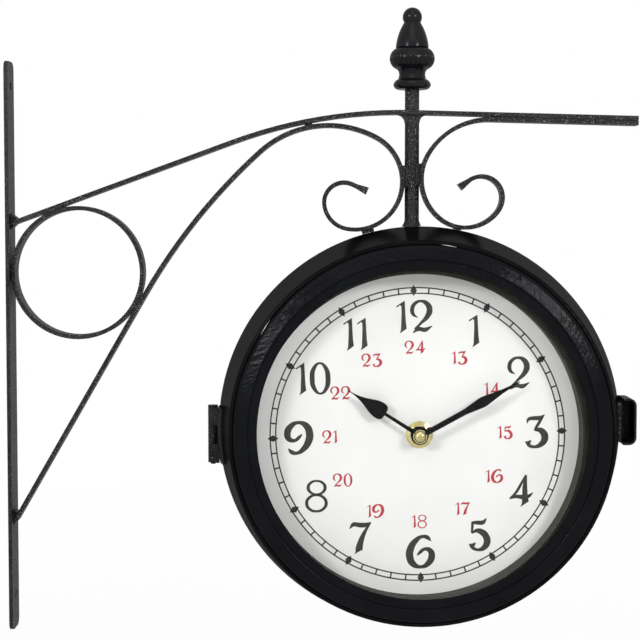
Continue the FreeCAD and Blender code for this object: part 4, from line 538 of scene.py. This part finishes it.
def addNumberRing(face, words, ring, size, name, material):
    items = []
    for hour, word in words.items():
        number = drawNumber(word)
        angle = math.radians(90 - hour * 30)
        number.scale = (size, size, size)
        number.location = (ring * math.cos(angle), ring * math.sin(angle), 0)
        items.append(number)
    finishPrint(items, name, face, material, printSetup["numeralLift"])


def addFlatRing(outer, inner):
    deselect()
    bpy.ops.mesh.primitive_circle_add(vertices=trackSetup["ringParts"], radius=outer, fill_type="NOTHING")
    ring = bpy.context.object
    bpy.ops.object.mode_set(mode="EDIT")
    bpy.ops.mesh.select_all(action="SELECT")
    bpy.ops.mesh.extrude_edges_move()
    bpy.ops.transform.resize(value=(inner / outer, inner / outer, 1))
    bpy.ops.mesh.select_all(action="SELECT")
    bpy.ops.mesh.normals_make_consistent(inside=False)
    bpy.ops.object.mode_set(mode="OBJECT")
    return ring


def copyRound(item, count, skip=0):  # every copy in turn, apart from each one numbered skip
    copies = []
    for i in range(count):
        if skip and i % skip == 0:
            continue
        copy = item.copy()
        copy.data = item.data.copy()
        bpy.context.collection.objects.link(copy)
        copy.data.transform(Matrix.Rotation(2 * math.pi * i / count, 4, "Z"))
        copies.append(copy)
    bpy.data.objects.remove(item)
    return copies


def addTrack(face):
    track = trackSetup
    outer, inner, line = track["outer"], track["inner"], track["line"]
    raised = Matrix.Translation((0, (outer + inner) / 2, 0))
    items = [addFlatRing(outer, outer - line), addFlatRing(inner + line, inner)]
    deselect()
    bpy.ops.mesh.primitive_plane_add(size=1)
    tick = bpy.context.object
    tick.data.transform(raised @ Matrix.Diagonal((track["tick"], outer - inner - line, 1, 1)))
    items += copyRound(tick, track["minutes"], track["minutes"] // track["hours"])
    deselect()
    bpy.ops.mesh.primitive_circle_add(vertices=4, radius=0.5, fill_type="NGON")
    diamond = bpy.context.object
    diamond.data.transform(raised @ Matrix.Diagonal((track["diamondWide"], track["diamondLong"], 1, 1)))
    items += copyRound(diamond, track["hours"])
    finishPrint(items, face + "Track", face, "dialInk", 0.0)


def addDialPrint(face):
    hours = {hour: str(hour) for hour in range(1, 13)}
    later = {hour: str(hour + 12) for hour in range(1, 13)}
    addTrack(face)
    addNumberRing(face, hours, printSetup["numeralRing"], printSetup["numeralHeight"],
                  face + "Numerals", "dialInk")
    addNumberRing(face, later, printSetup["smallRing"], printSetup["smallHeight"],
                  face + "SmallNumerals", "redInk")


for faceName in facePlaces:
    addDialPrint(faceName)
print("dials printed")

# ---- studio
studio = {"floorSize": 8.0, "floorParts": 8, "floorAt": (0.2, 0.0, -0.30), "floorColour": (0.9, 0.9, 0.9, 1),
          "floorRough": 0.9, "shadowAt": (0.2, 0.3, -0.3), "shadowFade": (0.2, 1.2, 0.96, 1.0),
          "worldDiffuse": 0.42, "aim": (0.21, 0.0, 0.0),
          "lamps": [("leftBox", (-0.62, -1.05, 0.46), 0.28, 7.2), ("rightBox", (0.92, -1.0, 0.42), 0.28, 6.5),
                    ("topBox", (0.2, -0.9, 1.1), 0.9, 2.6)]}


def backdropRays(tree):  # one for the rays that show the background
    path = tree.nodes.new("ShaderNodeLightPath").outputs
    seen = mathNode(tree, "MAXIMUM", path["Is Camera Ray"], path["Is Glossy Ray"])
    return mathNode(tree, "MAXIMUM", seen, path["Is Transmission Ray"])


def addFloor(setup):
    deselect()
    bpy.ops.mesh.primitive_grid_add(x_subdivisions=setup["floorParts"], y_subdivisions=setup["floorParts"],
                                    size=setup["floorSize"], location=setup["floorAt"])
    floor = bpy.context.object
    floor.name = "studioFloor"
    shader = {"Base Color": setup["floorColour"], "Roughness": setup["floorRough"]}
    material, tree, surface = newMaterial("studioWhite", shader)
    seen = backdropRays(tree)
    place = tree.nodes.new("ShaderNodeNewGeometry").outputs["Position"]
    ends = {0: place, 1: setup["shadowAt"]}
    away = addNode(tree, "ShaderNodeVectorMath", ends, operation="DISTANCE").outputs["Value"]
    share = mathNode(tree, "MULTIPLY", seen, remap(tree, away, *setup["shadowFade"]))
    glow = addNode(tree, "ShaderNodeEmission", {"Color": (1, 1, 1, 1), "Strength": 1.0})
    mixed = addNode(tree, "ShaderNodeMixShader", {0: share, 1: surface.outputs[0], 2: glow.outputs[0]})
    tree.links.new(mixed.outputs[0], tree.nodes["Material Output"].inputs["Surface"])
    floor.data.materials.append(material)


def addLamps(setup):
    for name, place, size, power in setup["lamps"]:
        turn = (Vector(setup["aim"]) - Vector(place)).to_track_quat("-Z", "Y").to_euler()
        bpy.ops.object.light_add(type="AREA", location=place, rotation=turn)
        lamp = bpy.context.object
        lamp.name = name
        lamp.data.shape = "SQUARE"
        lamp.data.size = size
        lamp.data.energy = power


def setWorld(setup):
    world = bpy.data.worlds.new("studioWorld")
    bpy.context.scene.world = world
    world.use_nodes = True
    tree = world.node_tree
    level = remap(tree, backdropRays(tree), 0.0, 1.0, setup["worldDiffuse"], 1.0)
    sky = tree.nodes["Background"]
    sky.inputs["Color"].default_value = (1, 1, 1, 1)
    tree.links.new(level, sky.inputs["Strength"])


addFloor(studio)
addLamps(studio)
setWorld(studio)
bpy.context.scene.view_settings.view_transform = "Standard"
print("studio lit")
